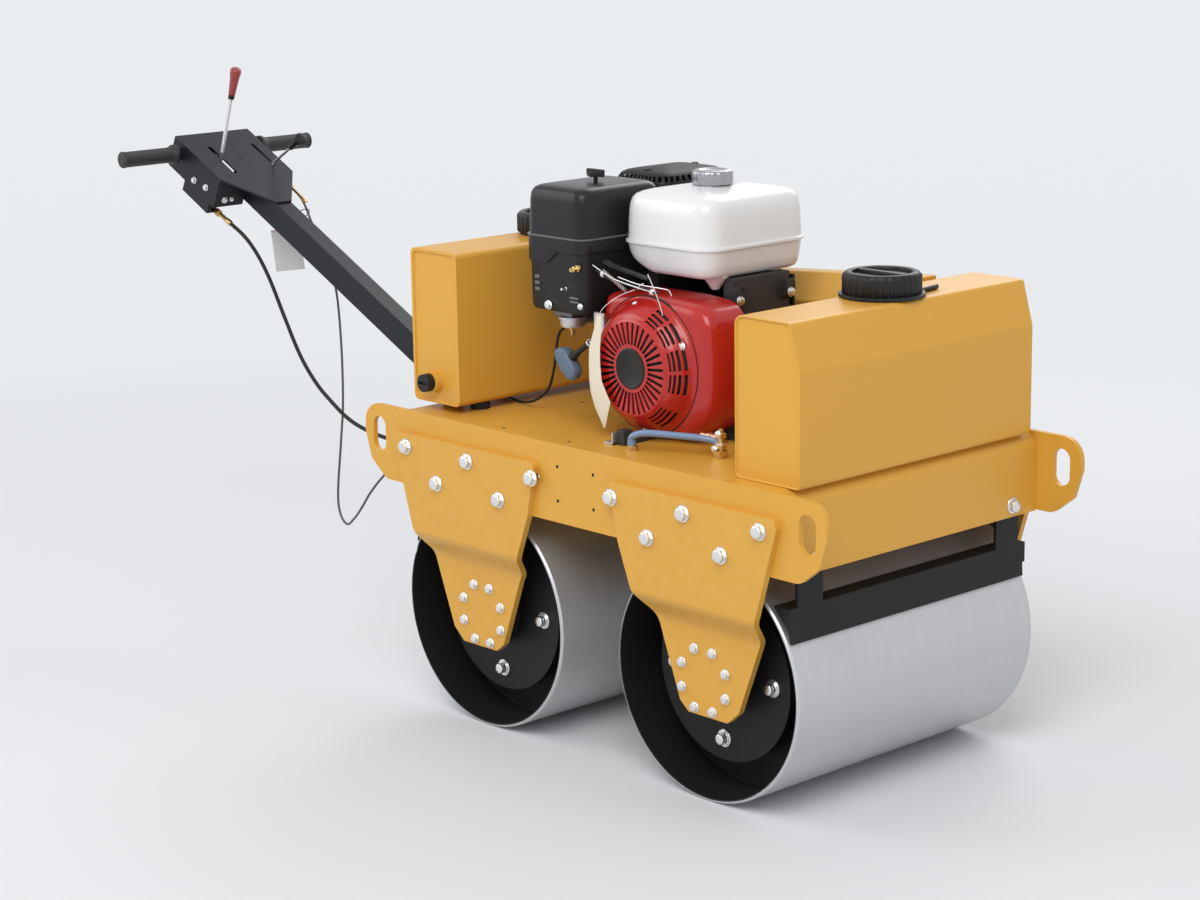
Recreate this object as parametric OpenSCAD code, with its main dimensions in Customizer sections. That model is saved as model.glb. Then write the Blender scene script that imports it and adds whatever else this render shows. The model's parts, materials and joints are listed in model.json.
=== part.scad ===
// Walk-behind vibratory roller with two steel drums, a petrol engine and a folding steering arm.
// X points forwards, Y to the machine's left and Z up; Z = 0 is the ground under the drums.

/* [Drums] */
// Outer diameter of each drum
drum_d = 426; // [400:2:460]
// Width of each drum across the machine
drum_w = 600; // [500:5:700]
// Distance between the two drum axles
axle_pitch = 570; // [540:5:640]
// Thickness of the drum's rolled shell
shell_t = 7; // [5:1:14]
// Depth from the drum's end to the web disc inside it
web_inset = 100; // [90:1:140]
// Thickness of the web disc
web_t = 10; // [6:1:16]
// Diameter of the carrier disc on its rubber buffers
carrier_d = 304; // [260:2:330]
// Thickness of the carrier disc
carrier_t = 10; // [6:1:14]
// Diameter of each rubber buffer
buffer_d = 62; // [40:1:76]
// Length of each rubber buffer
buffer_l = 36; // [24:1:44]
// Radius of the circle that the buffers stand on
buffer_r = 113; // [105:1:116]
// Diameter of the axle stub in its bearing
axle_d = 44; // [30:1:56]
// Diameter of the vibration shaft inside the drum
exciter_d = 34; // [24:1:40]
// Diameter of the tube round the vibration shaft
exciter_tube_d = 120; // [100:2:150]

/* [Frame] */
// Gap between the drums' ends and the side plates
side_gap = 16; // [12:1:24]
// Length of the side plates
frame_l = 1167; // [1120:5:1260]
// Height of the side plates
side_h = 140; // [120:2:180]
// Thickness of the side plates
side_t = 10; // [6:1:14]
// Gap between the drums and the lower edge of the frame
frame_gap = 4; // [2:1:20]
// Thickness of the deck plate
deck_t = 8; // [5:1:12]
// Distance from the middle of the machine to the face of each cross-member
cross_x = 488; // [475:1:500]
// Thickness of the cross-members
cross_t = 10; // [6:1:14]
// Height of the cross-members
cross_h = 142; // [124:2:150]
// Length of each lashing slot
slot_l = 66; // [50:1:72]
// Width of each lashing slot
slot_w = 36; // [24:1:40]
// Distance from the side plate's end to the middle of the lashing slot
slot_inset = 42; // [36:1:50]

/* [Drum brackets] */
// Width of each drum bracket at its top
bracket_w = 396; // [360:2:420]
// Thickness of the brackets' plate
bracket_t = 12; // [8:1:14]
// How far the plate steps in towards the drum's end
joggle = 35; // [28:1:38]
// Diameter of the circle of bolts round the axle
hub_pcd = 111; // [96:1:120]
// Diameter of the bearing housing behind the bracket
hub_d = 132; // [120:1:140]
// Thread diameter of the bracket bolts
bolt_d = 14; // [10:1:18]
// Thread diameter of the hub bolts
hub_bolt_d = 8; // [6:1:10]

/* [Scrapers] */
// Gap between a scraper's blade and its drum
scraper_gap = 2; // [1:0.5:6]
// Height of the scraper bar
scraper_h = 60; // [40:1:70]
// Thickness of the scraper's steel
scraper_t = 6; // [4:1:8]
// Width of each scraper upright
upright_w = 60; // [40:2:80]

/* [Tanks] */
// Width of the water tanks across the machine
tank_w = 582; // [520:2:600]
// Length of the front tank, front to back
front_tank_l = 145; // [130:1:150]
// Height of the front tank
front_tank_h = 269; // [220:1:300]
// Length of the rear tank, front to back
rear_tank_l = 129; // [120:1:135]
// Height of the rear tank
rear_tank_h = 282; // [240:1:300]
// Height of the rubber pads under the rear tank
pad_h = 14; // [8:1:20]
// Height and depth of the bevel along the front tank's top
bevel_h = 78; // [50:1:90]
// Depth of the same bevel
bevel_l = 22; // [14:1:34]
// Thickness of the tank's sheet
tank_t = 3; // [2:0.5:4]
// Diameter of the water filler caps
cap_d = 129; // [110:1:134]
// Height of the water filler caps
cap_h = 42; // [30:1:50]
// Diameter of the filler neck under each cap
neck_d = 112; // [96:1:114]
// Diameter of the drain plug
plug_d = 33; // [24:1:36]

/* [Steering arm] */
// Width of the steering arm
arm_w = 38; // [34:1:44]
// Depth of the steering arm
arm_h = 54; // [46:1:60]
// Length of the arm from its pivot to the control head's nose
arm_l = 811; // [760:1:860]
// Wall of the arm's box section
arm_wall = 4; // [3:0.5:6]
// Slope of the arm at rest
arm_slope = 26.6; // [20:0.2:32]
// Diameter of the pivot bolt at the arm's foot
pivot_d = 20; // [14:1:24]
// Distance from the rear cross-member to the pivot
pivot_reach = 60; // [58:1:66]

/* [Control head] */
// Width of the control head
head_w = 188; // [180:2:220]
// Length of the flat top of the control head
head_l = 179; // [170:1:210]
// Length of the tapering nose in front of it
nose_l = 106; // [90:1:130]
// Depth of the control head's side walls
head_h = 70; // [66:1:84]
// Thickness of the control head's sheet
head_t = 4; // [3:0.5:5]
// Length of the handlebar
bar_l = 476; // [440:2:540]
// Diameter of the handlebar
bar_d = 25; // [22:1:28]
// Diameter of the rubber grips
grip_d = 33; // [30:1:36]
// Length of each rubber grip
grip_l = 134; // [110:1:136]
// Length of the travel lever's slot
travel_slot_l = 110; // [100:1:114]
// Length of the throttle lever's slot
throttle_slot_l = 91; // [86:1:98]
// Diameter of the travel lever's rod
travel_rod_d = 8; // [6:1:8]
// Length of the travel lever from its pin
travel_lever_l = 258; // [200:1:290]
// Length of the throttle lever from its pin
throttle_lever_l = 185; // [150:1:210]
// Diameter of the cross pin that carries both levers
lever_pin_d = 12; // [8:1:14]
// Diameter of the travel cable
travel_cable_d = 8; // [6:0.5:9]
// Diameter of the throttle cable
throttle_cable_d = 5; // [4:0.5:6]

/* [Engine] */
// Distance of the crankshaft ahead of the machine's middle
crank_x = 40; // [30:1:50]
// Height of the crankshaft above the deck
crank_h = 130; // [126:1:140]
// Outer diameter of the recoil starter's cover
recoil_d = 160; // [150:2:170]
// Outer diameter of the fan cowl's round rim
cowl_d = 240; // [220:2:250]
// Thickness of the fan cowl's wall
cowl_t = 3; // [2:0.5:4]
// Number of slots round the recoil cover
recoil_slots = 36; // [24:2:40]
// Length of the fuel tank
fuel_l = 225; // [200:1:240]
// Width of the fuel tank
fuel_w = 258; // [220:2:270]
// Height of the fuel tank
fuel_h = 160; // [140:1:170]
// Diameter of the fuel tank's cap
fuel_cap_d = 72; // [56:1:80]
// Length of the air cleaner
cleaner_l = 165; // [150:1:170]
// Width of the air cleaner
cleaner_w = 202; // [190:1:210]
// Length of the silencer's guard
guard_l = 140; // [120:1:150]
// Width of the silencer's guard
guard_w = 180; // [150:1:190]
// Height of the fuel tank's base above the deck
fuel_rise = 278; // [270:1:290]
// Height of the air cleaner's base above the deck
cleaner_rise = 201; // [196:1:206]
// Height of the whole air cleaner
cleaner_h = 233; // [210:1:240]
// Diameter of the crankshaft
crank_d = 26; // [20:1:30]
// Diameter of the belt pulley on the crankshaft
crank_pulley_d = 76; // [60:1:90]
// Diameter of the belt pulley on the pump
pump_pulley_d = 114; // [100:1:120]

/* [Hidden] */
$fn = 64;
// Overrun of every cut past the face that it leaves
over = 1;
// Running clearance of a shaft in its hole
run_gap = 0.05;
// Gap between curved or moving faces that lie close together
near_gap = 0.3;

// Places that follow from the driving sizes
axle_x = axle_pitch / 2;
axle_z = drum_d / 2;
side_y = drum_w / 2 + side_gap + side_t;
side_z0 = drum_d + frame_gap;
deck_z = side_z0 + side_h;
frame_x = frame_l / 2;
slot_x = frame_x - slot_inset;
slot_z = side_z0 + side_h * 0.6;

// Control head and arm: distances along the arm are from its pivot
pivot_x = -cross_x - pivot_reach;
pivot_z = deck_z - side_h * 0.786;
head_u0 = arm_l + nose_l;
head_u1 = head_u0 + head_l;
top_n = arm_h / 2 + head_t;
head_floor = top_n - head_h;

// The rearmost point of the machine, on the control head's rear wall, and the shift that centres it
head_back_x = pivot_x - head_u1 * cos(arm_slope) + head_floor * sin(arm_slope);
mid_shift = -(frame_x + head_back_x) / 2;

module place() translate([mid_shift, 0, 0]) children();
module both_sides() {
    children();
    mirror([0, 1, 0]) children();
}
// Turns a shape drawn in X and Z, with its thickness along Z, so that the thickness runs to -Y
module upright() rotate([90, 0, 0]) children();
// Turns a shape drawn along +Z so that it points to -Y
module to_right() rotate([90, 0, 0]) children();
// Turns a shape drawn along +Z so that it points forwards
module to_front() rotate([0, 90, 0]) children();

// One corner of an outline turned into an arc of radius r
function corner(a, b, c, r, n) =
    let (u = (a - b) / norm(a - b), v = (c - b) / norm(c - b), h = acos(u * v) / 2,
        m = b + (u + v) / norm(u + v) * r / sin(h), p = b + u * r / tan(h) - m,
        q = b + v * r / tan(h) - m, s = atan2(p.y, p.x),
        d = (atan2(q.y, q.x) - s + 540) % 360 - 180)
    [for (i = [0:n]) m + r * [cos(s + d * i / n), sin(s + d * i / n)]];
// An outline whose points carry a corner radius as their third number
function rounded(p, n = 5) = [for (i = [0:len(p) - 1])
    let (a = p[(i + len(p) - 1) % len(p)], b = p[i], c = p[(i + 1) % len(p)])
    each b.z > 0 ? corner([a.x, a.y], [b.x, b.y], [c.x, c.y], b.z, n) : [[b.x, b.y]]];
// A table of shares times the sizes that it follows
function sized(t, w, h, r) = [for (p = t) [p.x * w, p.y * h, p.z * r]];

module bar(l, w, h, r = 0) linear_extrude(h) plate2d(l, w, r);
module plate2d(l, w, r) polygon(rounded([[-l / 2, -w / 2, r], [l / 2, -w / 2, r],
    [l / 2, w / 2, r], [-l / 2, w / 2, r]]));
module ring(d, bore, h) difference() {
    cylinder(d = d, h = h);
    translate([0, 0, -over]) cylinder(d = bore, h = h + 2 * over);
}
// Hexagon bolt with a washer, its seat at Z = 0 and its shank running down
module bolt(d, shank) {
    washer = d * 0.2;
    cylinder(d = d * 2.1, h = washer);
    translate([0, 0, washer]) cylinder(d = d * 1.75, h = d * 0.6, $fn = 6);
    translate([0, 0, -shank]) cylinder(d = d, h = shank + washer);
}

// Frame

// Shares of half the frame's length and of the side plate's height
side_shares = [[-1, 0.6, 0], [-1, 1, 0.286], [1, 1, 0.286], [1, 0.6, 0], [0.973, 0.236, 0],
    [0.9, 0, 0.214], [-0.9, 0, 0.214], [-0.973, 0.236, 0]];
module side_plate() difference() {
    translate([0, -side_y + side_t, side_z0]) upright() linear_extrude(side_t)
        polygon(rounded(sized(side_shares, frame_x, side_h, side_h)));
    for (s = [-1, 1]) translate([s * slot_x, -side_y + side_t + over, slot_z]) upright() {
        for (e = [-1, 1]) translate([0, e * (slot_l - slot_w) / 2, 0])
            cylinder(d = slot_w, h = side_t + 2 * over);
        translate([-slot_w / 2, -(slot_l - slot_w) / 2, 0])
            cube([slot_w, slot_l - slot_w, side_t + 2 * over]);
    }
    bracket_bolt_places(-side_y + side_t + over, side_t + 2 * over);
}
module side_plate_right() color("#d9a441") place() side_plate();
module side_plate_left() color("#d9a441") place() mirror([0, 1, 0]) side_plate();

inner_w = 2 * (side_y - side_t);
bend_r = 3 * cross_t;
deck_front = cross_x - bend_r;
module deck() color("#cf9a38") place() difference() {
    translate([0, 0, deck_z - deck_t]) bar(2 * deck_front, inner_w, deck_t);
    // Slot that the drive belt passes through
    translate([crank_x - belt_slot / 2, guard_in + guard_wall, deck_z - deck_t - over])
        cube([belt_slot, guard_depth - 2 * guard_wall, deck_t + 2 * over]);
}

// Cross-member with a rounded bend that carries the end of the deck
module cross_section() {
    translate([cross_x - cross_t, deck_z - cross_h]) square([cross_t, cross_h - bend_r]);
    translate([cross_x - bend_r, deck_z - bend_r]) intersection() {
        difference() {
            circle(r = bend_r);
            circle(r = bend_r - cross_t);
        }
        square(bend_r);
    }
}
module cross_member() difference() {
    translate([0, inner_w / 2, 0]) upright() linear_extrude(inner_w) cross_section();
    for (s = [-1, 1]) translate([cross_x + over, s * upright_y, scraper_top])
        rotate([0, -90, 0]) cylinder(d = bolt_d + 2 * run_gap, h = cross_t + 2 * over);
}
module front_cross_member() color("#d9a441") place() cross_member();
module rear_cross_member() color("#d9a441") place() difference() {
    mirror([1, 0, 0]) cross_member();
    for (g = [travel_gland, throttle_gland]) translate([-cross_x - over, g.y, g.z])
        to_front() cylinder(d = gland_d + 2 * run_gap, h = cross_t + 2 * over);
}

// Drum brackets, drawn round the axle

// Shares of half the bracket's width and of its height above the axle
bracket_shares = [[-0.96, 1, 0.02], [0.985, 1, 0.02], [1.01, 0.95, 0.02], [0.773, 0.454, 0.1],
    [0.662, 0.281, 0.05], [0.41, -0.126, 0], [0.278, -0.199, 0.02], [-0.187, -0.199, 0],
    [-0.288, -0.148, 0.02], [-0.53, 0.256, 0.05], [-0.702, 0.432, 0.05], [-0.859, 0.688, 0.05]];
// Shares of half the bracket's width and of its height, for its five bolts
bracket_bolt_shares = [[-0.927, 0.915], [-0.48, 0.744], [-0.05, 0.921], [0.389, 0.748],
    [0.826, 0.923]];
bracket_h = deck_z - side_h * 0.286 - axle_z;
bracket_y = side_y + bracket_t;
low_y = bracket_y - joggle;
joggle_z = axle_z + bracket_h * 0.27;
joggle_rise = joggle * 1.57;
module bracket_bolt_places(y, h) for (e = [-1, 1]) for (p = bracket_bolt_shares)
    translate([e * (axle_x + p.x * bracket_w / 2), y, axle_z + p.y * bracket_h])
        upright() cylinder(d = bolt_d + 2 * run_gap, h = h);
// The plate's side view: it steps in by the joggle over the joggle's height
bend_shares = [0, 0.04, 0.15, 0.32, 0.5, 0.68, 0.85, 0.96, 1];
function bend_line(y0) = [for (i = [0:8]) [y0 - joggle * bend_shares[i],
    joggle_z + joggle_rise * (1 - i / 8)]];
function reversed(t) = [for (i = [len(t) - 1:-1:0]) t[i]];
module bracket() difference() {
    intersection() {
        translate([axle_x, -bracket_y - over, axle_z]) rotate([90, 0, 0])
            translate([0, 0, -joggle - 2 * bracket_t]) linear_extrude(joggle + 3 * bracket_t)
            polygon(rounded(sized(bracket_shares, bracket_w / 2, bracket_h, bracket_w)));
        translate([axle_x - bracket_w, 0, 0]) rotate([90, 0, 90]) linear_extrude(2 * bracket_w)
            mirror([1, 0]) polygon(concat([[bracket_y, deck_z]], bend_line(bracket_y),
                [[low_y, 0], [low_y - bracket_t, 0]], reversed(bend_line(bracket_y - bracket_t)),
                [[bracket_y - bracket_t, deck_z]]));
    }
    bracket_bolt_places(-side_y + over, bracket_t + 2 * over);
    hub_bolt_places() cylinder(d = hub_bolt_d + 2 * run_gap, h = 4 * bracket_t, center = true);
}
module hub_bolt_places() for (i = [0:7]) rotate_about_axle(22.5 + 45 * i)
    translate([hub_pcd / 2, 0, 0]) children();
module rotate_about_axle(a) translate([axle_x, -low_y, axle_z]) to_right() rotate([0, 0, a])
    children();
module front_bracket_right() color("#dca845") place() bracket();
module front_bracket_left() color("#dca845") place() mirror([0, 1, 0]) bracket();
module rear_bracket_right() color("#dca845") place() mirror([1, 0, 0]) bracket();
module rear_bracket_left() color("#dca845") place() rotate([0, 0, 180]) bracket();

// Bearing housing behind the bracket's lower end, with a blind bore for the axle stub
buffer_foot = 8;
carrier_y = drum_w / 2 - web_inset + buffer_l + carrier_t + buffer_foot;
hub_in = low_y - bracket_t;
hub_l = hub_in - carrier_y - 2;
stub_l = hub_in - carrier_y - bracket_t / 2;
module hub_housing() difference() {
    translate([axle_x, -hub_in, axle_z]) rotate([-90, 0, 0]) {
        cylinder(d = hub_d, h = hub_l / 2);
        cylinder(d = hub_d * 0.8, h = hub_l);
    }
    translate([axle_x, -carrier_y, axle_z]) to_right()
        cylinder(d = axle_d + 2 * run_gap, h = stub_l + near_gap);
    hub_bolt_places() cylinder(d = hub_bolt_d + 2 * run_gap, h = 4 * bracket_t, center = true);
}
module front_hubs() color("#2b2b2d") place() both_sides() hub_housing();
module rear_hubs() color("#2b2b2d") place() mirror([1, 0, 0]) both_sides() hub_housing();

module frame_bolts() color("silver") place() {
    both_sides() for (e = [-1, 1]) {
        for (p = bracket_bolt_shares) translate([e * (axle_x + p.x * bracket_w / 2), -bracket_y,
            axle_z + p.y * bracket_h]) to_right() bolt(bolt_d, bracket_t + side_t);
        mirror([1 - e, 0, 0]) hub_bolt_places() bolt(hub_bolt_d, bracket_t + hub_l / 3);
        translate([e * cross_x, -upright_y, scraper_top]) rotate([0, e * 90, 0])
            bolt(bolt_d, cross_t + scraper_t);
    }
    // Pivot bolt of the steering arm with its nut
    translate([pivot_x, -clevis_w / 2, pivot_z]) to_right()
        cylinder(d = pivot_d * 1.6, h = pivot_d * 0.6, $fn = 6);
    translate([pivot_x, clevis_w / 2, pivot_z]) rotate([-90, 0, 0])
        cylinder(d = pivot_d * 1.6, h = pivot_d * 0.6, $fn = 6);
    translate([pivot_x, clevis_w / 2 + over, pivot_z]) to_right()
        cylinder(d = pivot_d, h = clevis_w + 2 * over);
}

// Scrapers: an angle bar with a bent blade, hung on two uprights behind the cross-member

blade_z = axle_z + drum_d * 0.235;
blade_x = axle_x + sqrt(pow(drum_d / 2, 2) - pow(blade_z - axle_z, 2)) + scraper_gap;
scraper_x = cross_x - cross_t;
scraper_top = deck_z - cross_h * 0.85;
upright_y = drum_w * 0.417;
scraper_l = drum_w - 2 * scraper_t;
module scraper_section() polygon([[blade_x, blade_z], [blade_x + scraper_t * 0.7, blade_z],
    [scraper_x, blade_z + scraper_h * 0.28], [scraper_x, blade_z + scraper_h],
    [scraper_x - scraper_h * 0.6, blade_z + scraper_h],
    [scraper_x - scraper_h * 0.6, blade_z + scraper_h - scraper_t],
    [scraper_x - scraper_t, blade_z + scraper_h - scraper_t],
    [scraper_x - scraper_t, blade_z + scraper_h * 0.28]]);
module scraper() {
    translate([0, scraper_l / 2, 0]) upright() linear_extrude(scraper_l) scraper_section();
    for (s = [-1, 1]) difference() {
        translate([scraper_x - scraper_t, s * upright_y - upright_w / 2, blade_z + scraper_h])
            cube([scraper_t, upright_w, scraper_top + bolt_d * 1.4 - blade_z - scraper_h]);
        translate([scraper_x - scraper_t - over, s * upright_y, scraper_top])
            to_front() cylinder(d = bolt_d + 2 * run_gap, h = scraper_t + 2 * over);
    }
    for (s = [-1, 1]) translate([0, s * scraper_l / 2 + (s - 1) / 2 * scraper_t, 0])
        translate([scraper_x - scraper_h * 0.6, scraper_t, blade_z + scraper_h]) upright()
        linear_extrude(scraper_t) polygon([[0, 0], [scraper_h * 0.6, 0],
            [scraper_h * 0.6, -scraper_h * 0.6]]);
}
module front_scraper() color("#303033") place() scraper();
module rear_scraper() color("#303033") place() mirror([1, 0, 0]) scraper();

// Water tanks

front_tank_x0 = cross_x + cross_t / 2 - front_tank_l;
front_tank_x1 = front_tank_x0 + front_tank_l;
tank_end_t = tank_t;
front_neck_x = front_tank_x0 + front_tank_l * 0.4;
rear_tank_x1 = -cross_x + cross_t + rear_tank_l;
rear_tank_x0 = rear_tank_x1 - rear_tank_l;
rear_neck_x = rear_tank_x0 + rear_tank_l / 2;
neck_h = cap_h * 0.6;
tank_r = 8;
module front_tank_outline(in) polygon(rounded([[front_tank_x0 + in, in, tank_r],
    [front_tank_x1 - in, in, tank_r], [front_tank_x1 - in, front_tank_h - bevel_h, 3 * tank_r],
    [front_tank_x1 - bevel_l - in, front_tank_h - in, tank_r],
    [front_tank_x0 + in, front_tank_h - in, 2 * tank_r]]));
module front_tank() color("#dba746") place() translate([0, 0, deck_z]) {
    translate([0, tank_w / 2, 0]) upright() difference() {
        linear_extrude(tank_w) front_tank_outline(0);
        translate([0, 0, -over]) linear_extrude(tank_end_t + over) front_tank_outline(tank_t);
        translate([0, 0, tank_w - tank_end_t]) linear_extrude(tank_end_t + over)
            front_tank_outline(tank_t);
    }
    translate([front_neck_x, 0, front_tank_h]) filler_neck();
}
module filler_neck() ring(neck_d, neck_d - 4 * tank_t, neck_h);
module rear_tank_outline(in) translate([rear_neck_x, rear_tank_h / 2])
    plate2d(rear_tank_l - 2 * in, rear_tank_h - 2 * in, 1.5 * tank_r);
drain_x = rear_tank_x0 + rear_tank_l * 0.48;
drain_z = deck_z + pad_h + rear_tank_h * 0.145;
drain_l = plug_d * 0.42;
module rear_tank() color("#dba746") place() {
    translate([0, tank_w / 2, deck_z + pad_h]) upright() difference() {
        linear_extrude(tank_w) rear_tank_outline(0);
        for (z = [-over, tank_w - tank_end_t]) translate([0, 0, z])
            linear_extrude(tank_end_t + over) rear_tank_outline(2 * tank_t);
    }
    translate([rear_neck_x, 0, deck_z + pad_h + rear_tank_h]) filler_neck();
    translate([drain_x, -tank_w / 2 + tank_end_t, drain_z]) to_right()
        ring(plug_d * 1.2, plug_d * 0.7, drain_l + tank_end_t);
}
module tank_pads() color("#1d1d1f") place() for (x = [0.2, 0.8]) for (s = [-1, 1])
    translate([rear_tank_x0 + rear_tank_l * x, s * tank_w * 0.38, deck_z])
    cylinder(d = rear_tank_l * 0.28, h = pad_h);

// Ribbed cap with a recessed top; it screws on round the neck
cap_ribs = 32;
module filler_cap() difference() {
    union() {
        cylinder(d = cap_d, h = cap_h * 0.88);
        cylinder(d = cap_d * 0.93, h = cap_h);
        for (i = [0:cap_ribs - 1]) rotate([0, 0, i * 360 / cap_ribs])
            translate([cap_d / 2, 0, cap_h * 0.12]) cylinder(d = cap_d * 0.035, h = cap_h * 0.76);
    }
    translate([0, 0, -over]) cylinder(d = neck_d + 2 * near_gap, h = cap_h * 0.6 + over + near_gap);
    translate([0, 0, cap_h * 0.84]) difference() {
        cylinder(d = cap_d * 0.78, h = cap_h * 0.16 + over);
        translate([-cap_d / 2, -cap_d * 0.07, -over]) cube([cap_d, cap_d * 0.14, cap_h]);
    }
}
module front_filler_cap() color("#1c1c1e") place()
    translate([front_neck_x, 0, deck_z + front_tank_h]) filler_cap();
module rear_filler_cap() color("#1c1c1e") place()
    translate([rear_neck_x, 0, deck_z + pad_h + rear_tank_h]) filler_cap();
module drain_plug() color("#1c1c1e") place()
    translate([drain_x, -tank_w / 2 - drain_l, drain_z]) to_right() {
        difference() {
            cylinder(d = plug_d, h = plug_d * 0.5);
            translate([0, 0, plug_d * 0.5]) cube([plug_d * 0.7, plug_d * 0.16, plug_d * 0.3],
                center = true);
        }
        translate([0, 0, -drain_l * 0.8]) cylinder(d = plug_d * 0.7 - 2 * run_gap, h = drain_l);
    }

// Drums: shell, two webs and the tube of the vibration shaft

shell_in = drum_d - 2 * shell_t;
tube_l = drum_w - 2 * web_inset;
module drum_at(x) translate([x, 0, axle_z]) rotate([-90, 0, 0]) children();
module drum() {
    translate([0, 0, -drum_w / 2]) difference() {
        ring(drum_d, shell_in, drum_w);
        for (z = [0, drum_w]) translate([0, 0, z]) rotate_extrude($fn = 96)
            translate([drum_d / 2, 0]) circle(r = shell_t / 2, $fn = 4);
    }
    for (s = [0, 1]) mirror([0, 0, s]) translate([0, 0, tube_l / 2 - web_t])
        ring(shell_in + over, exciter_d + 2 * near_gap, web_t);
    translate([0, 0, web_t - over - tube_l / 2])
        ring(exciter_tube_d, exciter_tube_d - 4 * web_t, tube_l - 2 * web_t + 2 * over);
}
module front_drum() color("#b9bcc2") place() drum_at(axle_x) drum();
module rear_drum() color("#b9bcc2") place() drum_at(-axle_x) drum();

// Carrier discs with their axle stubs, one at each end of the drum
module carrier() translate([0, 0, carrier_y - carrier_t]) {
    difference() {
        cylinder(d = carrier_d, h = carrier_t);
        buffer_places(-over) cylinder(d = bolt_d + 2 * run_gap, h = carrier_t + 2 * over);
    }
    translate([0, 0, carrier_t]) cylinder(d = axle_d, h = stub_l);
    buffer_places(0) {
        translate([0, 0, -buffer_foot]) ring(buffer_d * 0.5, bolt_d + 2 * run_gap, buffer_foot);
        translate([0, 0, carrier_t]) bolt(bolt_d * 0.8, carrier_t);
    }
}
module buffer_places(z) for (i = [0:3]) rotate([0, 0, 90 * i]) translate([buffer_r, 0, z])
    children();
module carriers() for (s = [0, 1]) mirror([0, 0, s]) carrier();
module front_carriers() color("#3a3a3c") place() drum_at(axle_x) carriers();
module rear_carriers() color("#3a3a3c") place() drum_at(-axle_x) carriers();

module buffers() for (s = [0, 1]) mirror([0, 0, s]) translate([0, 0, tube_l / 2])
    buffer_places(0) rotate_extrude() polygon([[0, 0], [buffer_d / 2, 0],
        [buffer_d / 2, buffer_l * 0.14], [buffer_d * 0.43, buffer_l * 0.3],
        [buffer_d * 0.43, buffer_l * 0.7], [buffer_d / 2, buffer_l * 0.86],
        [buffer_d / 2, buffer_l], [0, buffer_l]]);
module front_buffers() color("#161617") place() drum_at(axle_x) buffers();
module rear_buffers() color("#161617") place() drum_at(-axle_x) buffers();

// Vibration shaft with an eccentric weight, running in the drum's webs
exciter_r = exciter_tube_d / 2 - 2 * web_t - 2;
module exciter() {
    cylinder(d = exciter_d, h = tube_l, center = true);
    intersection() {
        cylinder(r = exciter_r, h = tube_l * 0.6, center = true);
        translate([0, -exciter_r, -tube_l]) cube([exciter_r, 2 * exciter_r, 2 * tube_l]);
    }
}
module front_exciter() color("gray") place() drum_at(axle_x) exciter();
module rear_exciter() color("gray") place() drum_at(-axle_x) exciter();

// Steering arm, drawn along +X from its pivot and then laid on its slope

module on_arm() translate([pivot_x, 0, pivot_z]) rotate([0, 180 + arm_slope, 0])
    mirror([0, 0, 1]) children();
clevis_gap = 1;
ear_t = 10;
clevis_w = arm_w + 2 * clevis_gap + 2 * ear_t;
eye_t = arm_h * 0.5;
module arm_bracket() color("#303236") place() difference() {
    union() {
        translate([-cross_x - ear_t, -clevis_w * 0.9, pivot_z - arm_h * 0.9])
            cube([ear_t, clevis_w * 1.8, arm_h * 1.6]);
        for (s = [-1, 1]) translate([0, s * (clevis_w - ear_t) / 2 + ear_t / 2, 0]) upright()
            linear_extrude(ear_t) hull() {
                translate([pivot_x, pivot_z]) circle(r = eye_t, $fn = 48);
                translate([-cross_x - 2 * ear_t, pivot_z - arm_h * 0.8])
                    square([ear_t, arm_h * 1.4]);
            }
    }
    translate([pivot_x, clevis_w, pivot_z]) to_right()
        cylinder(d = pivot_d + 2 * run_gap, h = 2 * clevis_w);
}
module steering_arm() color("#34363c") place() on_arm() difference() {
    union() {
        translate([0, -arm_w / 2, -arm_h / 2]) cube([head_u0 + head_l * 0.3, arm_w, arm_h]);
        translate([0, arm_w / 2, 0]) to_right() cylinder(d = arm_h, h = arm_w);
    }
    translate([arm_h, -arm_w / 2 + arm_wall, -arm_h / 2 + arm_wall])
        cube([head_u1, arm_w - 2 * arm_wall, arm_h - 2 * arm_wall]);
    translate([0, arm_w, 0]) to_right() cylinder(d = pivot_d + 2 * run_gap, h = 2 * arm_w);
}

// Control head: a folded sheet shell on the arm's end, its top level with the arm's top

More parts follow.
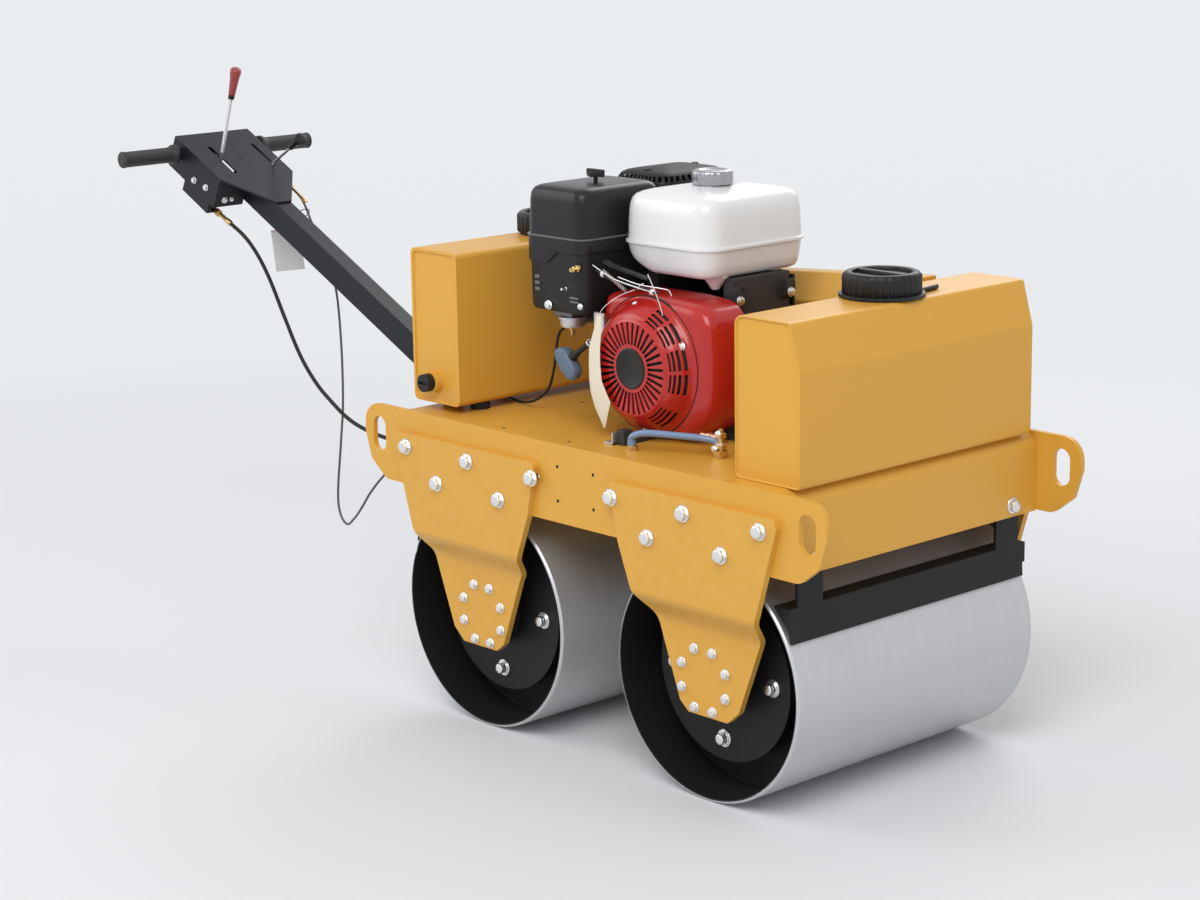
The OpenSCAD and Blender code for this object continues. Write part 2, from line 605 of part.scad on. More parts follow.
travel_y = -head_w * 0.2235;
throttle_y = head_w * 0.351;
travel_s0 = head_u0 + head_l * 0.09;
throttle_s0 = head_u0 + head_l * 0.162;
module slot_cut(x0, y, l, w) for (x = [x0 + w / 2, x0 + l - w / 2]) {
    translate([x, y, arm_h / 2 - over]) cylinder(d = w, h = head_t + 2 * over, $fn = 24);
    translate([x0 + w / 2, y - w / 2, arm_h / 2 - over]) cube([l - w, w, head_t + 2 * over]);
}
module head_plan() polygon([[arm_l, arm_w / 2], [head_u0, head_w / 2], [head_u1, head_w / 2],
    [head_u1, -head_w / 2], [head_u0, -head_w / 2], [arm_l, -arm_w / 2]]);
module control_head() color("#34363c") place() on_arm() difference() {
    union() {
        translate([0, 0, arm_h / 2]) linear_extrude(head_t) head_plan();
        for (s = [-1, 1]) translate([head_u0, s * (head_w - head_t) / 2 - head_t / 2, head_floor])
            cube([head_l, head_t, head_h - head_t + over]);
        for (s = [-1, 1]) translate([head_u0, s * (head_w + arm_w) / 4 - (head_w - arm_w) / 4,
            head_floor]) cube([head_t, (head_w - arm_w) / 2, head_h - head_t + over]);
        translate([head_u1 - head_t, -head_w / 2, head_floor])
            cube([head_t, head_w, head_h - head_t + over]);
        translate([lever_u, head_w / 2 - over, lever_n]) to_right()
            cylinder(d = lever_pin_d, h = head_w - 2 * over);
        cable_clamp();
    }
    slot_cut(travel_s0, travel_y, travel_slot_l, travel_rod_d + 2);
    slot_cut(throttle_s0, throttle_y, throttle_slot_l, travel_rod_d);
    translate([bar_u, head_w, bar_n]) to_right() cylinder(d = bar_d + 2 * run_gap, h = 2 * head_w);
}
bar_u = head_u1 - bar_d * 1.3;
bar_n = top_n - bar_d;
// Bar under the right wall that holds the end of the travel cable's sleeve
clamp_l = head_l * 0.54;
clamp_h = head_h * 0.34;
module cable_clamp() translate([travel_s0, -head_w / 2, head_floor - clamp_h]) {
    cube([clamp_l, 1.5 * travel_cable_d, clamp_h + over]);
    cube([clamp_l, 3.5 * travel_cable_d, head_t]);
}
module handlebar() color("#34363c") place() on_arm() translate([bar_u, bar_l / 2, bar_n])
    to_right() ring(bar_d, bar_d * 0.8, bar_l);
grip_end = grip_d * 0.12;
module grip() translate([bar_u, -bar_l / 2 - grip_end, bar_n]) rotate([-90, 0, 0]) difference() {
    union() {
        cylinder(d = grip_d * 0.94, h = grip_l);
        translate([0, 0, grip_end]) cylinder(d = grip_d, h = grip_l - grip_end);
        translate([0, 0, grip_l - grip_d * 0.15]) cylinder(d = grip_d * 1.3, h = grip_d * 0.15);
    }
    translate([0, 0, grip_end]) cylinder(d = bar_d + 2 * run_gap, h = grip_l);
}
module grip_right() color("#232325") place() on_arm() grip();
module grip_left() color("#232325") place() on_arm() mirror([0, 1, 0]) grip();

// Levers: both turn on one cross pin under the slots; each boss and rod are one forging
lever_n = top_n - head_h * 0.72;
lever_u = travel_s0 + travel_slot_l * 0.5;
travel_tilt = 6.6;
throttle_tilt = -34;
boss_d = 2.2 * lever_pin_d;
module lever(y, tilt, rod, l) translate([lever_u, y, lever_n]) rotate([0, tilt, 0]) {
    difference() {
        union() {
            to_right() cylinder(d = boss_d, h = boss_d, center = true);
            cylinder(d = rod, h = l - over);
        }
        to_right() cylinder(d = lever_pin_d + 2 * run_gap, h = 2 * boss_d, center = true);
    }
    translate([0, 0, l]) children();
}
module travel_lever() color("#c3332c") place() on_arm()
    lever(travel_y, travel_tilt, travel_rod_d, travel_lever_l) rotate_extrude()
        polygon(travel_lever_l * travel_knob_shares);
// Shares of the lever's length: radius and height below its top
travel_knob_shares = [[0, -0.21], [0.028, -0.21], [0.031, -0.19], [0.038, -0.09],
    [0.046, -0.04], [0.044, -0.016], [0.03, -0.003], [0, 0]];
throttle_knob_shares = [[0, -0.2], [0.03, -0.2], [0.038, -0.09], [0.075, -0.03],
    [0.078, -0.014], [0.066, -0.002], [0, 0]];
throttle_rod_d = 0.75 * travel_rod_d;
module throttle_lever() color("#c3332c") place() on_arm()
    lever(throttle_y, throttle_tilt, throttle_rod_d, throttle_lever_l) rotate_extrude()
        polygon(throttle_lever_l * throttle_knob_shares);

// Engine

crank_z = deck_z + crank_h;
module at_crank(y) translate([crank_x, y, crank_z]) to_right() children();
leg_w = cowl_t * 8;
case_w = cowl_d * 1.1;
case_y0 = -cowl_d * 0.42;
case_y1 = cowl_d * 0.6;
flywheel_d = cowl_d * 0.78;
case_x0 = crank_x - case_w * 0.4;
case_x1 = crank_x + case_w * 0.4;
case_h = crank_h * 1.5;
fuel_z = deck_z + fuel_rise;
module crankcase() color("#4a4c50") place() {
    difference() {
        translate([case_x0, case_y0, deck_z]) cube([case_x1 - case_x0, case_y1 - case_y0,
            case_h]);
        at_crank(case_y1 + over) cylinder(d = crank_d + 2 * run_gap,
            h = case_y1 - case_y0 + 2 * over);
    }
    // Walls that carry the fuel tank
    for (x = [case_x0, case_x1 - leg_w]) translate([x, case_y0 * 0.86, deck_z + case_h - over])
        cube([leg_w, (case_y1 - case_y0) * 0.57, fuel_rise - case_h + over]);
    for (x = [-1, 1]) translate([crank_x + x * case_w * 0.45 - case_w * 0.09, case_y0, deck_z])
        cube([case_w * 0.18, case_y1 - case_y0, cross_t]);
}
// Cylinder with its cooling fins, lying towards the rear
block_l = case_w * 0.62;
block_y0 = -cowl_d * 0.25;
block_w = cowl_d * 0.55;
block_z = deck_z + case_h / 2;
block_h = crank_h * 0.79;
fins = 8;
fin_t = 4;
module cylinder_block() color("#8a8c90") place() translate([case_x0 - block_l, block_y0, block_z]) {
    translate([0, block_w * 0.15, block_h * 0.12]) cube([block_l, block_w * 0.7, block_h * 0.76]);
    for (i = [0:fins - 1]) translate([i * (block_l - fin_t) / fins, 0, 0])
        cube([i == 0 ? 3 * fin_t : fin_t, block_w, block_h]);
}

// Fan cowl: a pressed shell with a round mouth for the fan

// Shares of the cowl's diameter round the crankshaft
cowl_shares = [[-0.5, 0.49, 0.12], [0.56, 0.49, 0.12], [0.64, 0.36, 0.1], [0.64, -0.2, 0.2],
    [0.42, -0.49, 0.2], [-0.2, -0.49, 0.16], [-0.5, -0.2, 0.16]];
cowl_y = -cowl_d * 0.8;
module cowl_outline(in) offset_outline(sized(cowl_shares, cowl_d - 2 * in, cowl_d - 2 * in,
    cowl_d));
module offset_outline(p) polygon(rounded(p, 6));
cowl_depth = case_y0 - cowl_y;
module fan_cowl() color("#c2281f") place() at_crank(case_y0) difference() {
    union() {
        linear_extrude(cowl_depth) cowl_outline(0);
        cylinder(d = cowl_d, h = cowl_depth);
        translate([0, 0, cowl_depth]) cylinder(d = recoil_d * 1.48, h = cowl_t);
    }
    translate([0, 0, -over]) linear_extrude(cowl_depth - cowl_t + over) cowl_outline(cowl_t);
    translate([0, 0, -over]) cylinder(d = cowl_d - 2 * cowl_t, h = cowl_depth - cowl_t + over);
    cylinder(d = recoil_d * 1.2, h = 2 * cowl_depth);
    cowl_vents();
}
// Groups of cooling slots in the cowl's face and side
vent_h = cowl_t * 1.8;
module cowl_vents() {
    for (i = [0:4]) translate([cowl_d * 0.42 + i * cowl_t * 0.4, (i - 2) * vent_h * 2 + cowl_d * 0.3,
        cowl_depth - 2 * cowl_t]) cube([cowl_d * 0.12, vent_h, 4 * cowl_t]);
    for (i = [0:5]) translate([cowl_d * 0.52, (i - 5) * vent_h * 2.4 + cowl_d * 0.1,
        cowl_depth - 2 * cowl_t]) cube([cowl_d * 0.08, vent_h, 4 * cowl_t]);
    for (i = [0:6]) translate([cowl_d * 0.5, (i - 4) * vent_h * 2.4, cowl_depth * 0.3])
        cube([cowl_d * 0.2, vent_h, cowl_depth * 0.42]);
}

// Cover of the recoil starter: a dished shell with slots all round its face
recoil_h = recoil_d * 0.25;
recoil_skin = cowl_t * 0.8;
recoil_y = cowl_y - cowl_t;
module recoil_cover() color("#c2281f") place() at_crank(recoil_y) difference() {
    rotate_extrude() polygon([[recoil_d * 0.73, 0], [recoil_d * 0.73, recoil_skin],
        [recoil_d * 0.66, recoil_h * 0.3], [recoil_d * 0.52, recoil_h * 0.93],
        [recoil_d * 0.48, recoil_h], [0, recoil_h], [0, recoil_h - recoil_skin],
        [recoil_d * 0.47, recoil_h - recoil_skin], [recoil_d * 0.5, recoil_h * 0.88],
        [recoil_d * 0.64, recoil_h * 0.22], [recoil_d * 0.66, 0]]);
    slope_vents();
    for (i = [0:recoil_slots - 1]) rotate([0, 0, i * 360 / recoil_slots])
        translate([recoil_d * 0.24, -recoil_skin * 0.75, recoil_h / 2])
        cube([recoil_d * 0.21, recoil_skin * 1.5, recoil_h]);
    // Hole that the starter's rope leaves by
    translate([-recoil_d, recoil_d * 0.18, recoil_h * 0.5]) to_front()
        cylinder(d = rope_d + 2 * near_gap, h = recoil_d * 0.7);
}

// Curved vents in the cover's slope: where each group starts, how far it turns and its rows
vent_groups = [[-22, 18, 4], [1, 18, 4], [28, 18, 4], [52, 18, 4], [-66, 5, 1], [-57, 5, 1],
    [-48, 5, 1], [-39, 5, 1]];
module slope_vents() for (g = vent_groups) for (i = [1:g.z]) rotate([0, 0, g.x])
    rotate_extrude(angle = g.y) translate([recoil_d * (0.497 + 0.034 * i), recoil_h * 0.1])
    square([vent_h * (g.z > 1 ? 0.5 : 2), recoil_h]);

// Crankshaft with its flywheel and fan at one end and the belt pulley at the other
belt_w = crank_pulley_d * 0.24;
belt_y = case_y1 + belt_w * 0.9;
groove = belt_w * 0.5;
fan_blades = 20;
module pulley(d) rotate_extrude() polygon([[0, -belt_w * 0.7], [d / 2, -belt_w * 0.7],
    [d / 2, -belt_w * 0.5], [d / 2 - groove, -belt_w * 0.3], [d / 2 - groove, belt_w * 0.3],
    [d / 2, belt_w * 0.5], [d / 2, belt_w * 0.7], [0, belt_w * 0.7]]);
module flywheel() color("#55575c") place() {
    at_crank(case_y0 - 2 * cowl_t) {
        cylinder(d = flywheel_d, h = cowl_depth * 0.4);
        for (i = [0:fan_blades - 1]) rotate([0, 0, i * 360 / fan_blades])
            translate([flywheel_d * 0.3, -cowl_t / 2, cowl_depth * 0.4 - over])
            cube([flywheel_d * 0.18, cowl_t, cowl_depth * 0.3]);
    }
    at_crank(belt_y + belt_w) cylinder(d = crank_d, h = belt_y + belt_w - case_y0 + 3 * cowl_t);
    at_crank(belt_y) pulley(crank_pulley_d);
}

// Hydraulic pump under the deck, its bracket, its pulley and the belt
pump_z = deck_z - deck_t - pump_pulley_d * 0.62;
pump_d = pump_pulley_d * 0.8;
pump_l = case_y1 * 0.9;
module at_pump(y) translate([crank_x, y, pump_z]) to_right() children();
module pump() color("#3c3f44") place() difference() {
    union() {
        at_pump(case_y1 - 2 * cowl_t) cylinder(d = pump_d, h = pump_l);
        translate([crank_x - pump_d * 0.6, case_y1 - 2 * cowl_t - cross_t, pump_z - pump_d * 0.5])
            cube([pump_d * 1.2, cross_t, deck_z - deck_t - pump_z + pump_d * 0.5]);
        translate([crank_x - pump_d * 0.6, case_y1 - pump_l * 0.7, deck_z - deck_t - cross_t])
            cube([pump_d * 1.2, pump_l * 0.7 - 2 * cowl_t, cross_t]);
    }
    at_pump(case_y1 + over) cylinder(d = crank_d * 0.7 + 2 * run_gap, h = pump_l / 3);
}
module pump_pulley() color("#6a6d72") place() {
    at_pump(belt_y) pulley(pump_pulley_d);
    at_pump(belt_y) cylinder(d = crank_d * 0.7, h = belt_y - case_y1 + pump_l / 3 - over);
}
module belt_loop(r1, r2) hull() {
    translate([crank_x, crank_z]) circle(r = crank_pulley_d / 2 - groove + near_gap + r1, $fn = 40);
    translate([crank_x, pump_z]) circle(r = pump_pulley_d / 2 - groove + near_gap + r2, $fn = 40);
}
module drive_belt() color("#19191a") place() translate([0, belt_y + belt_w * 0.27, 0]) upright()
    linear_extrude(belt_w * 0.54) difference() {
        belt_loop(belt_w * 0.4, belt_w * 0.4);
        belt_loop(0, 0);
    }
// Guard that covers the belt above the deck
guard_wall = cowl_t;
belt_slot = pump_pulley_d + 2 * cowl_t;
guard_r = crank_pulley_d / 2 + 5 * cowl_t;
guard_in = belt_y - belt_w * 0.7 - cowl_t;
guard_depth = belt_w * 1.4 + 4 * cowl_t;
module guard_outline(in) {
    translate([crank_x, crank_z]) circle(r = guard_r - in);
    translate([crank_x - guard_r + in, deck_z - in]) square([2 * (guard_r - in), crank_h + in]);
}
module belt_guard() color("#232427") place() translate([0, guard_in + guard_depth, 0]) upright()
    difference() {
        linear_extrude(guard_depth) guard_outline(0);
        translate([0, 0, guard_wall]) linear_extrude(guard_depth) guard_outline(guard_wall);
    }

// Fuel tank: a lower and an upper pressing joined at a flange
fuel_x0 = crank_x - fuel_l * 0.51;
fuel_y0 = -fuel_w * 0.575;
fuel_r = fuel_l * 0.2;
flange_z = fuel_h * 0.33;
module fuel_shape(in, h) translate([fuel_x0 + fuel_l / 2, fuel_y0 + fuel_w / 2, 0])
    bar(fuel_l - 2 * in, fuel_w - 2 * in, h, fuel_r - in);
module fuel_tank() color("#eef0f2") place() translate([0, 0, fuel_z]) {
    fuel_shape(flange_in * 2, flange_in);
    translate([0, 0, flange_in - run_gap]) fuel_shape(flange_in, flange_z);
    translate([0, 0, flange_z]) fuel_shape(0, flange_in * 0.6);
    translate([0, 0, flange_z]) fuel_shape(flange_in, fuel_h * 0.88 - flange_z);
    translate([0, 0, flange_z]) fuel_shape(flange_in * 1.7, fuel_h * 0.95 - flange_z);
    translate([0, 0, flange_z]) fuel_shape(flange_in * 3.2, fuel_h - flange_z);
    translate([crank_x, fuel_y0 + fuel_w * 0.46, fuel_h - over])
        cylinder(d = fuel_cap_d * 0.7, h = fuel_neck_h + over);
}
flange_in = fuel_h * 0.05;
fuel_neck_h = fuel_cap_d * 0.1;
fuel_ribs = 16;
module fuel_cap() color("#1b1b1c") place() translate([crank_x, fuel_y0 + fuel_w * 0.46,
    fuel_z + fuel_h]) difference() {
        union() {
            cylinder(d = fuel_cap_d * 0.94, h = fuel_cap_d * 0.22);
            for (i = [0:fuel_ribs - 1]) rotate([0, 0, i * 360 / fuel_ribs])
                translate([fuel_cap_d * 0.46, 0, 0]) cylinder(d = fuel_cap_d * 0.08,
                    h = fuel_cap_d * 0.2);
        }
        translate([0, 0, -over]) cylinder(d = fuel_cap_d * 0.7 + 2 * near_gap,
            h = fuel_neck_h + over + near_gap);
    }

// Air cleaner: a deep tray with a domed cover held by a wing knob
cleaner_x0 = fuel_x0 - cowl_t - cleaner_l;
cleaner_y0 = -cleaner_w * 1.1;
cleaner_z = deck_z + cleaner_rise;
tray_h = cleaner_h * 0.475;
cleaner_r = cleaner_l * 0.14;
module cleaner_shape(in, h) translate([cleaner_x0 + cleaner_l / 2, cleaner_y0 + cleaner_w / 2, 0])
    bar(cleaner_l - 2 * in, cleaner_w - 2 * in, h, cleaner_r - in);
rib_in = cleaner_l * 0.02;
module air_cleaner_case() color("#202124") place() translate([0, 0, cleaner_z]) {
    cleaner_shape(2 * rib_in, tray_h);
    for (z = [0.08, 0.52]) translate([0, 0, tray_h * z]) cleaner_shape(rib_in, tray_h * 0.34);
}
dome_h = cleaner_h - tray_h;
module air_cleaner_cover() color("#1b1c1e") place() translate([0, 0, cleaner_z + tray_h])
    difference() {
        union() {
            cleaner_shape(0, dome_h * 0.22);
            cleaner_shape(rib_in, dome_h * 0.8);
            cleaner_shape(3 * rib_in, dome_h * 0.92);
            cleaner_shape(5 * rib_in, dome_h);
        }
        translate([knob_x, knob_y, dome_h * 0.5])
            cylinder(d = knob_pin_d + 2 * run_gap, h = dome_h);
    }
knob_x = cleaner_x0 + cleaner_l / 2;
knob_y = cleaner_y0 + cleaner_w / 2;
knob_pin_d = 8;
module wing_knob() color("#26272a") place() translate([knob_x, knob_y, cleaner_z + cleaner_h]) {
    cylinder(d = 3.5 * knob_pin_d, h = knob_pin_d);
    translate([-2.5 * knob_pin_d, -knob_pin_d / 2, 0])
        cube([5 * knob_pin_d, knob_pin_d, 1.6 * knob_pin_d]);
    translate([0, 0, -dome_h * 0.4]) cylinder(d = knob_pin_d, h = dome_h * 0.4 + over);
}

// Silencer, its pipe and its slotted guard
guard_x1 = fuel_x0 - fuel_l * 0.22;
silencer_y = guard_w * 0.55;
silencer_z = fuel_z + fuel_h * 0.55;
silencer_l = guard_w * 0.84;
silencer_d = guard_l * 0.74;
module silencer() color("#77797d") place() {
    translate([guard_x1 - guard_l / 2, silencer_y + silencer_l / 2, silencer_z]) to_right()
        cylinder(d = silencer_d, h = silencer_l);
    translate([guard_x1 - guard_l / 2, block_y0 + block_w * 0.75, block_z + block_h])
        cylinder(d = silencer_d * 0.36, h = silencer_z - block_z - block_h - silencer_d * 0.4);
    // Posts that carry the guard
    for (s = [-1, 1]) translate([guard_x1 - guard_l / 2, silencer_y + s * silencer_l * 0.4,
        silencer_z + silencer_d * 0.4]) cylinder(d = silencer_d * 0.12,
            h = guard_z + guard_h - guard_skin - silencer_z - silencer_d * 0.4);
}
guard_skin = 2;
guard_h = silencer_d * 1.18;
guard_z = silencer_z - silencer_d / 2 - 2 * guard_skin;
module silencer_guard() color("#232427") place()
    translate([guard_x1 - guard_l / 2, silencer_y, guard_z]) difference() {
        bar(guard_l, guard_w, guard_h, guard_l * 0.12);
        translate([0, 0, -over]) bar(guard_l - 2 * guard_skin, guard_w - 2 * guard_skin,
            guard_h - guard_skin + over, guard_l * 0.1);
        for (i = [-3:3]) translate([i * guard_l * 0.115 - guard_skin, -guard_w * 0.38,
            guard_h - 2 * guard_skin]) cube([2 * guard_skin, guard_w * 0.76, 4 * guard_skin]);
        for (i = [0:6]) translate([-guard_l, (i - 3) * guard_w * 0.12, guard_h * 0.3])
            cube([2 * guard_l, guard_w * 0.04, guard_h * 0.5]);
    }

// Carburettor: body, float bowl and the pipe to the cylinder
bowl_d = 46;
carb_x = cleaner_x0 + cleaner_l * 0.34;
carb_y = cleaner_y0 + cleaner_w * 0.3;
carb_z = cleaner_z - bowl_d * 0.56;
module carburettor() color("#9a9ca0") place() {
    translate([carb_x - bowl_d * 0.55, carb_y - bowl_d / 2, carb_z])
        cube([bowl_d * 1.1, bowl_d, cleaner_z - carb_z]);
    translate([carb_x, carb_y, carb_z - bowl_d * 0.6]) cylinder(d = bowl_d * 0.9, h = bowl_d * 0.6 + over);
    translate([carb_x, carb_y, carb_z - bowl_d * 0.72])
        cylinder(d = bowl_d * 0.28, h = bowl_d * 0.2, $fn = 6);
    translate([carb_x, block_y0, carb_z + bowl_d * 0.2]) to_right()
        cylinder(d = bowl_d * 0.7, h = block_y0 - carb_y);
}

// Recoil starter's rope and handle
rope_d = 5;
handle_w = 76;
rope_z = crank_z + recoil_d * 0.18;
rope_y = recoil_y - recoil_h * 0.5;
rope_x0 = crank_x - recoil_d * 0.5;
rope_l = handle_w * 0.5;
module recoil_rope() color("#d8d4c8") place() translate([rope_x0 - rope_l, rope_y, rope_z])
    to_front() cylinder(d = rope_d, h = rope_l, $fn = 12);
module recoil_handle() color("#5f7183") place()
    translate([rope_x0 - rope_l, rope_y, rope_z]) difference() {
        rotate([0, -handle_hang, 0]) {
            translate([-neck_l, 0, 0]) to_front()
                cylinder(d = 2.6 * rope_d, h = neck_l - near_gap, $fn = 12);
            translate([-neck_l, handle_w * 0.15, 0]) upright() linear_extrude(handle_w * 0.3)
                polygon(rounded(sized(handle_shares, handle_w, handle_w, handle_w)));
        }
        // Hole that the rope's end sits in
        translate([-near_gap, 0, 0]) to_front()
            cylinder(d = rope_d + 2 * near_gap, h = 2 * rope_d, $fn = 12);
    }
neck_l = handle_w * 0.78;
// Angle at which the handle hangs from its rope
handle_hang = 34;
handle_shares = [[0, 0.26, 0.1], [-0.3, 0.42, 0.1], [-0.42, 0.3, 0.08], [-0.36, -0.4, 0.1],
    [-0.2, -0.52, 0.1], [0.04, -0.3, 0.14]];

// Cables and hoses: tubes swept along points chosen by hand
travel_points = [[-1421, -70, 830], [-1357, -75, 806], [-1294, -80, 781], [-1243, -85, 747],
    [-1197, -90, 701], [-1137, -100, 630], [-1076, -110, 562], [-1015, -120, 517],
    [-953, -130, 488], [-876, -140, 460], [-793, -145, 446], [-700, -140, 440],
    [-600, -125, 446], [-514, -120, 450]];
throttle_points = [[-1366, 80, 879], [-1315, 85, 843], [-1284, 85, 799], [-1242, 80, 740],
    [-1174, 60, 675], [-1141, 45, 563], [-1122, 30, 440], [-1114, 15, 357], [-1111, 0, 252],
    [-1094, -10, 209], [-1058, -20, 191], [-1010, -35, 216], [-965, -50, 249],
    [-930, -55, 285], [-885, -60, 324], [-800, -70, 385], [-700, -78, 430], [-600, -80, 452],
    [-514, -80, 458]];
choke_points = [[-450, -125, 573], [-400, -130, 573], [-350, -145, 574], [-300, -155, 584],
    [-258, -158, 610], [-238, -160, 650], [-228, -161, 695], [-220, -161, 720],
    [-206, -161, 732]];
hose_points = [[81, -269, 582], [84, -270, 594], [110, -264, 603], [160, -242, 603],
    [205, -219, 601], [226, -207, 595], [228, -205, 584]];
function spline(a, b, c, d, t) = 0.5 * (2 * b + (c - a) * t + (2 * a - 5 * b + 4 * c - d) * t * t
    + (3 * b - a - 3 * c + d) * t * t * t);
function smooth(p, n) = concat([for (i = [0:len(p) - 2]) for (j = [0:n - 1])
    spline(p[max(i - 1, 0)], p[i], p[i + 1], p[min(i + 2, len(p) - 1)], j / n)],
    [p[len(p) - 1]]);
function unit(v) = v / norm(v);
module tube(points, d, sides, aside = [0, 1, 0], steps = 2) {
    p = smooth(points, steps);
    n = len(p);
    rings = [for (i = [0:n - 1]) let (t = unit(p[min(i + 1, n - 1)] - p[max(i - 1, 0)]),
        a = unit(aside - t * (aside * t)), b = cross(t, a))
        for (k = [0:sides - 1]) p[i] + d / 2 * (a * cos(k * 360 / sides) + b * sin(k * 360 / sides))];
    skin = [for (i = [0:n - 2]) for (k = [0:sides - 1]) let (m = (k + 1) % sides, o = i * sides)
        each [[o + k, o + sides + k, o + m], [o + m, o + sides + k, o + sides + m]]];
    ends = [for (k = [1:sides - 2]) each [[0, k, k + 1],
        [(n - 1) * sides, (n - 1) * sides + k + 1, (n - 1) * sides + k]]];
    polyhedron(rings, concat(skin, ends));
}
module travel_cable() color("#151516") place() tube(travel_points, travel_cable_d, 10);
module throttle_cable() color("#1b1b1c") place() tube(throttle_points, throttle_cable_d, 8);
module choke_cable() color("#151516") place() tube(choke_points, throttle_cable_d, 8);
hose_d = 12;
module fuel_hose() color("#2f6fb5") place() tube(hose_points, hose_d, 10, [1, 0, 0.2]);

gland_d = 12;
gland_l = 25;
travel_gland = [0, -120, 450];
throttle_gland = [0, -80, 458];
module cable_glands() color("#b08d45") place() {
    hose_fittings();
    for (g = [travel_gland, throttle_gland]) translate([-cross_x, g.y, g.z]) gland();
}
module gland() {
    translate([-gland_l, 0, 0]) to_front() cylinder(d = gland_d * 0.9, h = gland_l);
    translate([-gland_d * 0.7, 0, 0]) to_front() cylinder(d = gland_d * 1.7,
        h = gland_d * 0.7, $fn = 6);
    to_front() cylinder(d = gland_d, h = cross_t);
}
// Fittings that stand on the deck under the hose's ends
module hose_fittings() for (p = [hose_points[0], hose_points[len(hose_points) - 1]])
    translate([p.x, p.y, deck_z]) {
        cylinder(d = hose_d * 1.8, h = (p.z - deck_z) * 0.6, $fn = 6);
        cylinder(d = hose_d * 1.2, h = p.z - deck_z);
    }

side_plate_right();
side_plate_left();
deck();
front_cross_member();
rear_cross_member();
front_bracket_right();
front_bracket_left();
rear_bracket_right();
rear_bracket_left();
frame_bolts();
front_hubs();
rear_hubs();
front_scraper();
rear_scraper();
front_tank();
rear_tank();
tank_pads();
arm_bracket();
pump();
belt_guard();
crankcase();
cylinder_block();
fan_cowl();
recoil_cover();
fuel_tank();
drive_belt();
air_cleaner_case();
air_cleaner_cover();
silencer();
silencer_guard();
carburettor();
fuel_hose();
cable_glands();
front_drum();
rear_drum();
front_carriers();
rear_carriers();
front_buffers();
rear_buffers();
front_exciter();
rear_exciter();
flywheel();
pump_pulley();
recoil_handle();
recoil_rope();
steering_arm();
control_head();
handlebar();
grip_right();
grip_left();
travel_lever();
throttle_lever();
front_filler_cap();
rear_filler_cap();
fuel_cap();
drain_plug();
wing_knob();
travel_cable();
throttle_cable();
choke_cable();
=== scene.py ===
import json
import math
import bmesh
import bpy
from mathutils import Matrix, Vector


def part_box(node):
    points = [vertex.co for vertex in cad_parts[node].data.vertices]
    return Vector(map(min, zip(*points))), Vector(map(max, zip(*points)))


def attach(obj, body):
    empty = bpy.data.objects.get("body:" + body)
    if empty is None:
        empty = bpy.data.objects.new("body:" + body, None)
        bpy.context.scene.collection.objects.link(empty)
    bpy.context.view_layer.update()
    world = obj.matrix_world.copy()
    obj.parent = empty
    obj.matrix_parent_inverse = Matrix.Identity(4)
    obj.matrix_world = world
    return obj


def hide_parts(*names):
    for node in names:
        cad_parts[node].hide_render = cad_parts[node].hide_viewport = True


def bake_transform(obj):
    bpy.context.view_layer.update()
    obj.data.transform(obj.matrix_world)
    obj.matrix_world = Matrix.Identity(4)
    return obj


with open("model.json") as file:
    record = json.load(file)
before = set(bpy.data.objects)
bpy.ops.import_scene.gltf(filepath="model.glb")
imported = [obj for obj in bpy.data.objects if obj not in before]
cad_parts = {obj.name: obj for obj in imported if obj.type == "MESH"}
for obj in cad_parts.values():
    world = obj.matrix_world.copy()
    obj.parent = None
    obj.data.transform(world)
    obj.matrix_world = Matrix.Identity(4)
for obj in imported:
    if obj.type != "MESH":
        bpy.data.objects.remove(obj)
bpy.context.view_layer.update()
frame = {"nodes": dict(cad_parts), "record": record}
scene = bpy.context.scene
scene.view_settings.view_transform = "Standard"

deckLow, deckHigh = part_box("deck")
midX = (deckLow.x + deckHigh.x) / 2  # middle of the machine between its drums
mm = 0.001


def at(x, y, z):  # a place on the machine, in millimetres from its middle on the ground
    return Vector((midX + x * mm, y * mm, z * mm))


# Camera

view = dict(azimuth=47.447, elevation=12.834, roll=-0.928, lens=81.58, place=(3370.65, -3362.76, 1599.62))


def makeCamera():
    a, e, r = (math.radians(view[k]) for k in ("azimuth", "elevation", "roll"))
    back = Vector((math.sin(a) * math.cos(e), -math.cos(a) * math.cos(e), math.sin(e)))
    side = Vector((math.cos(a), math.sin(a), 0))
    up = back.cross(side)
    right = side * math.cos(r) + up * math.sin(r)
    over = up * math.cos(r) - side * math.sin(r)
    data = bpy.data.cameras.new("camera")
    data.lens = view["lens"]
    data.sensor_width = 36
    data.clip_end = 60
    cam = bpy.data.objects.new("camera", data)
    turn = Matrix((right, over, back)).transposed().to_4x4()
    cam.matrix_world = Matrix.Translation(at(*view["place"])) @ turn
    scene.collection.objects.link(cam)
    scene.camera = cam


makeCamera()
print("camera placed")


# Mesh helpers

def addMesh(name, verts, faces, autoAngle=None):
    mesh = bpy.data.meshes.new(name)
    mesh.from_pydata([tuple(v) for v in verts], [], faces)
    mesh.validate()
    mesh.update()
    obj = bpy.data.objects.new(name, mesh)
    scene.collection.objects.link(obj)
    shade(obj, autoAngle)
    return obj


def shade(obj, autoAngle=None):  # smooth, but sharp where two faces meet at more than the angle
    mesh = obj.data
    mesh.polygons.foreach_set("use_smooth", [True] * len(mesh.polygons))
    if autoAngle:
        work = bmesh.new()
        work.from_mesh(mesh)
        for e in work.edges:
            e.smooth = len(e.link_faces) == 2 and e.calc_face_angle(0) < math.radians(autoAngle)
        work.to_mesh(mesh)
        work.free()


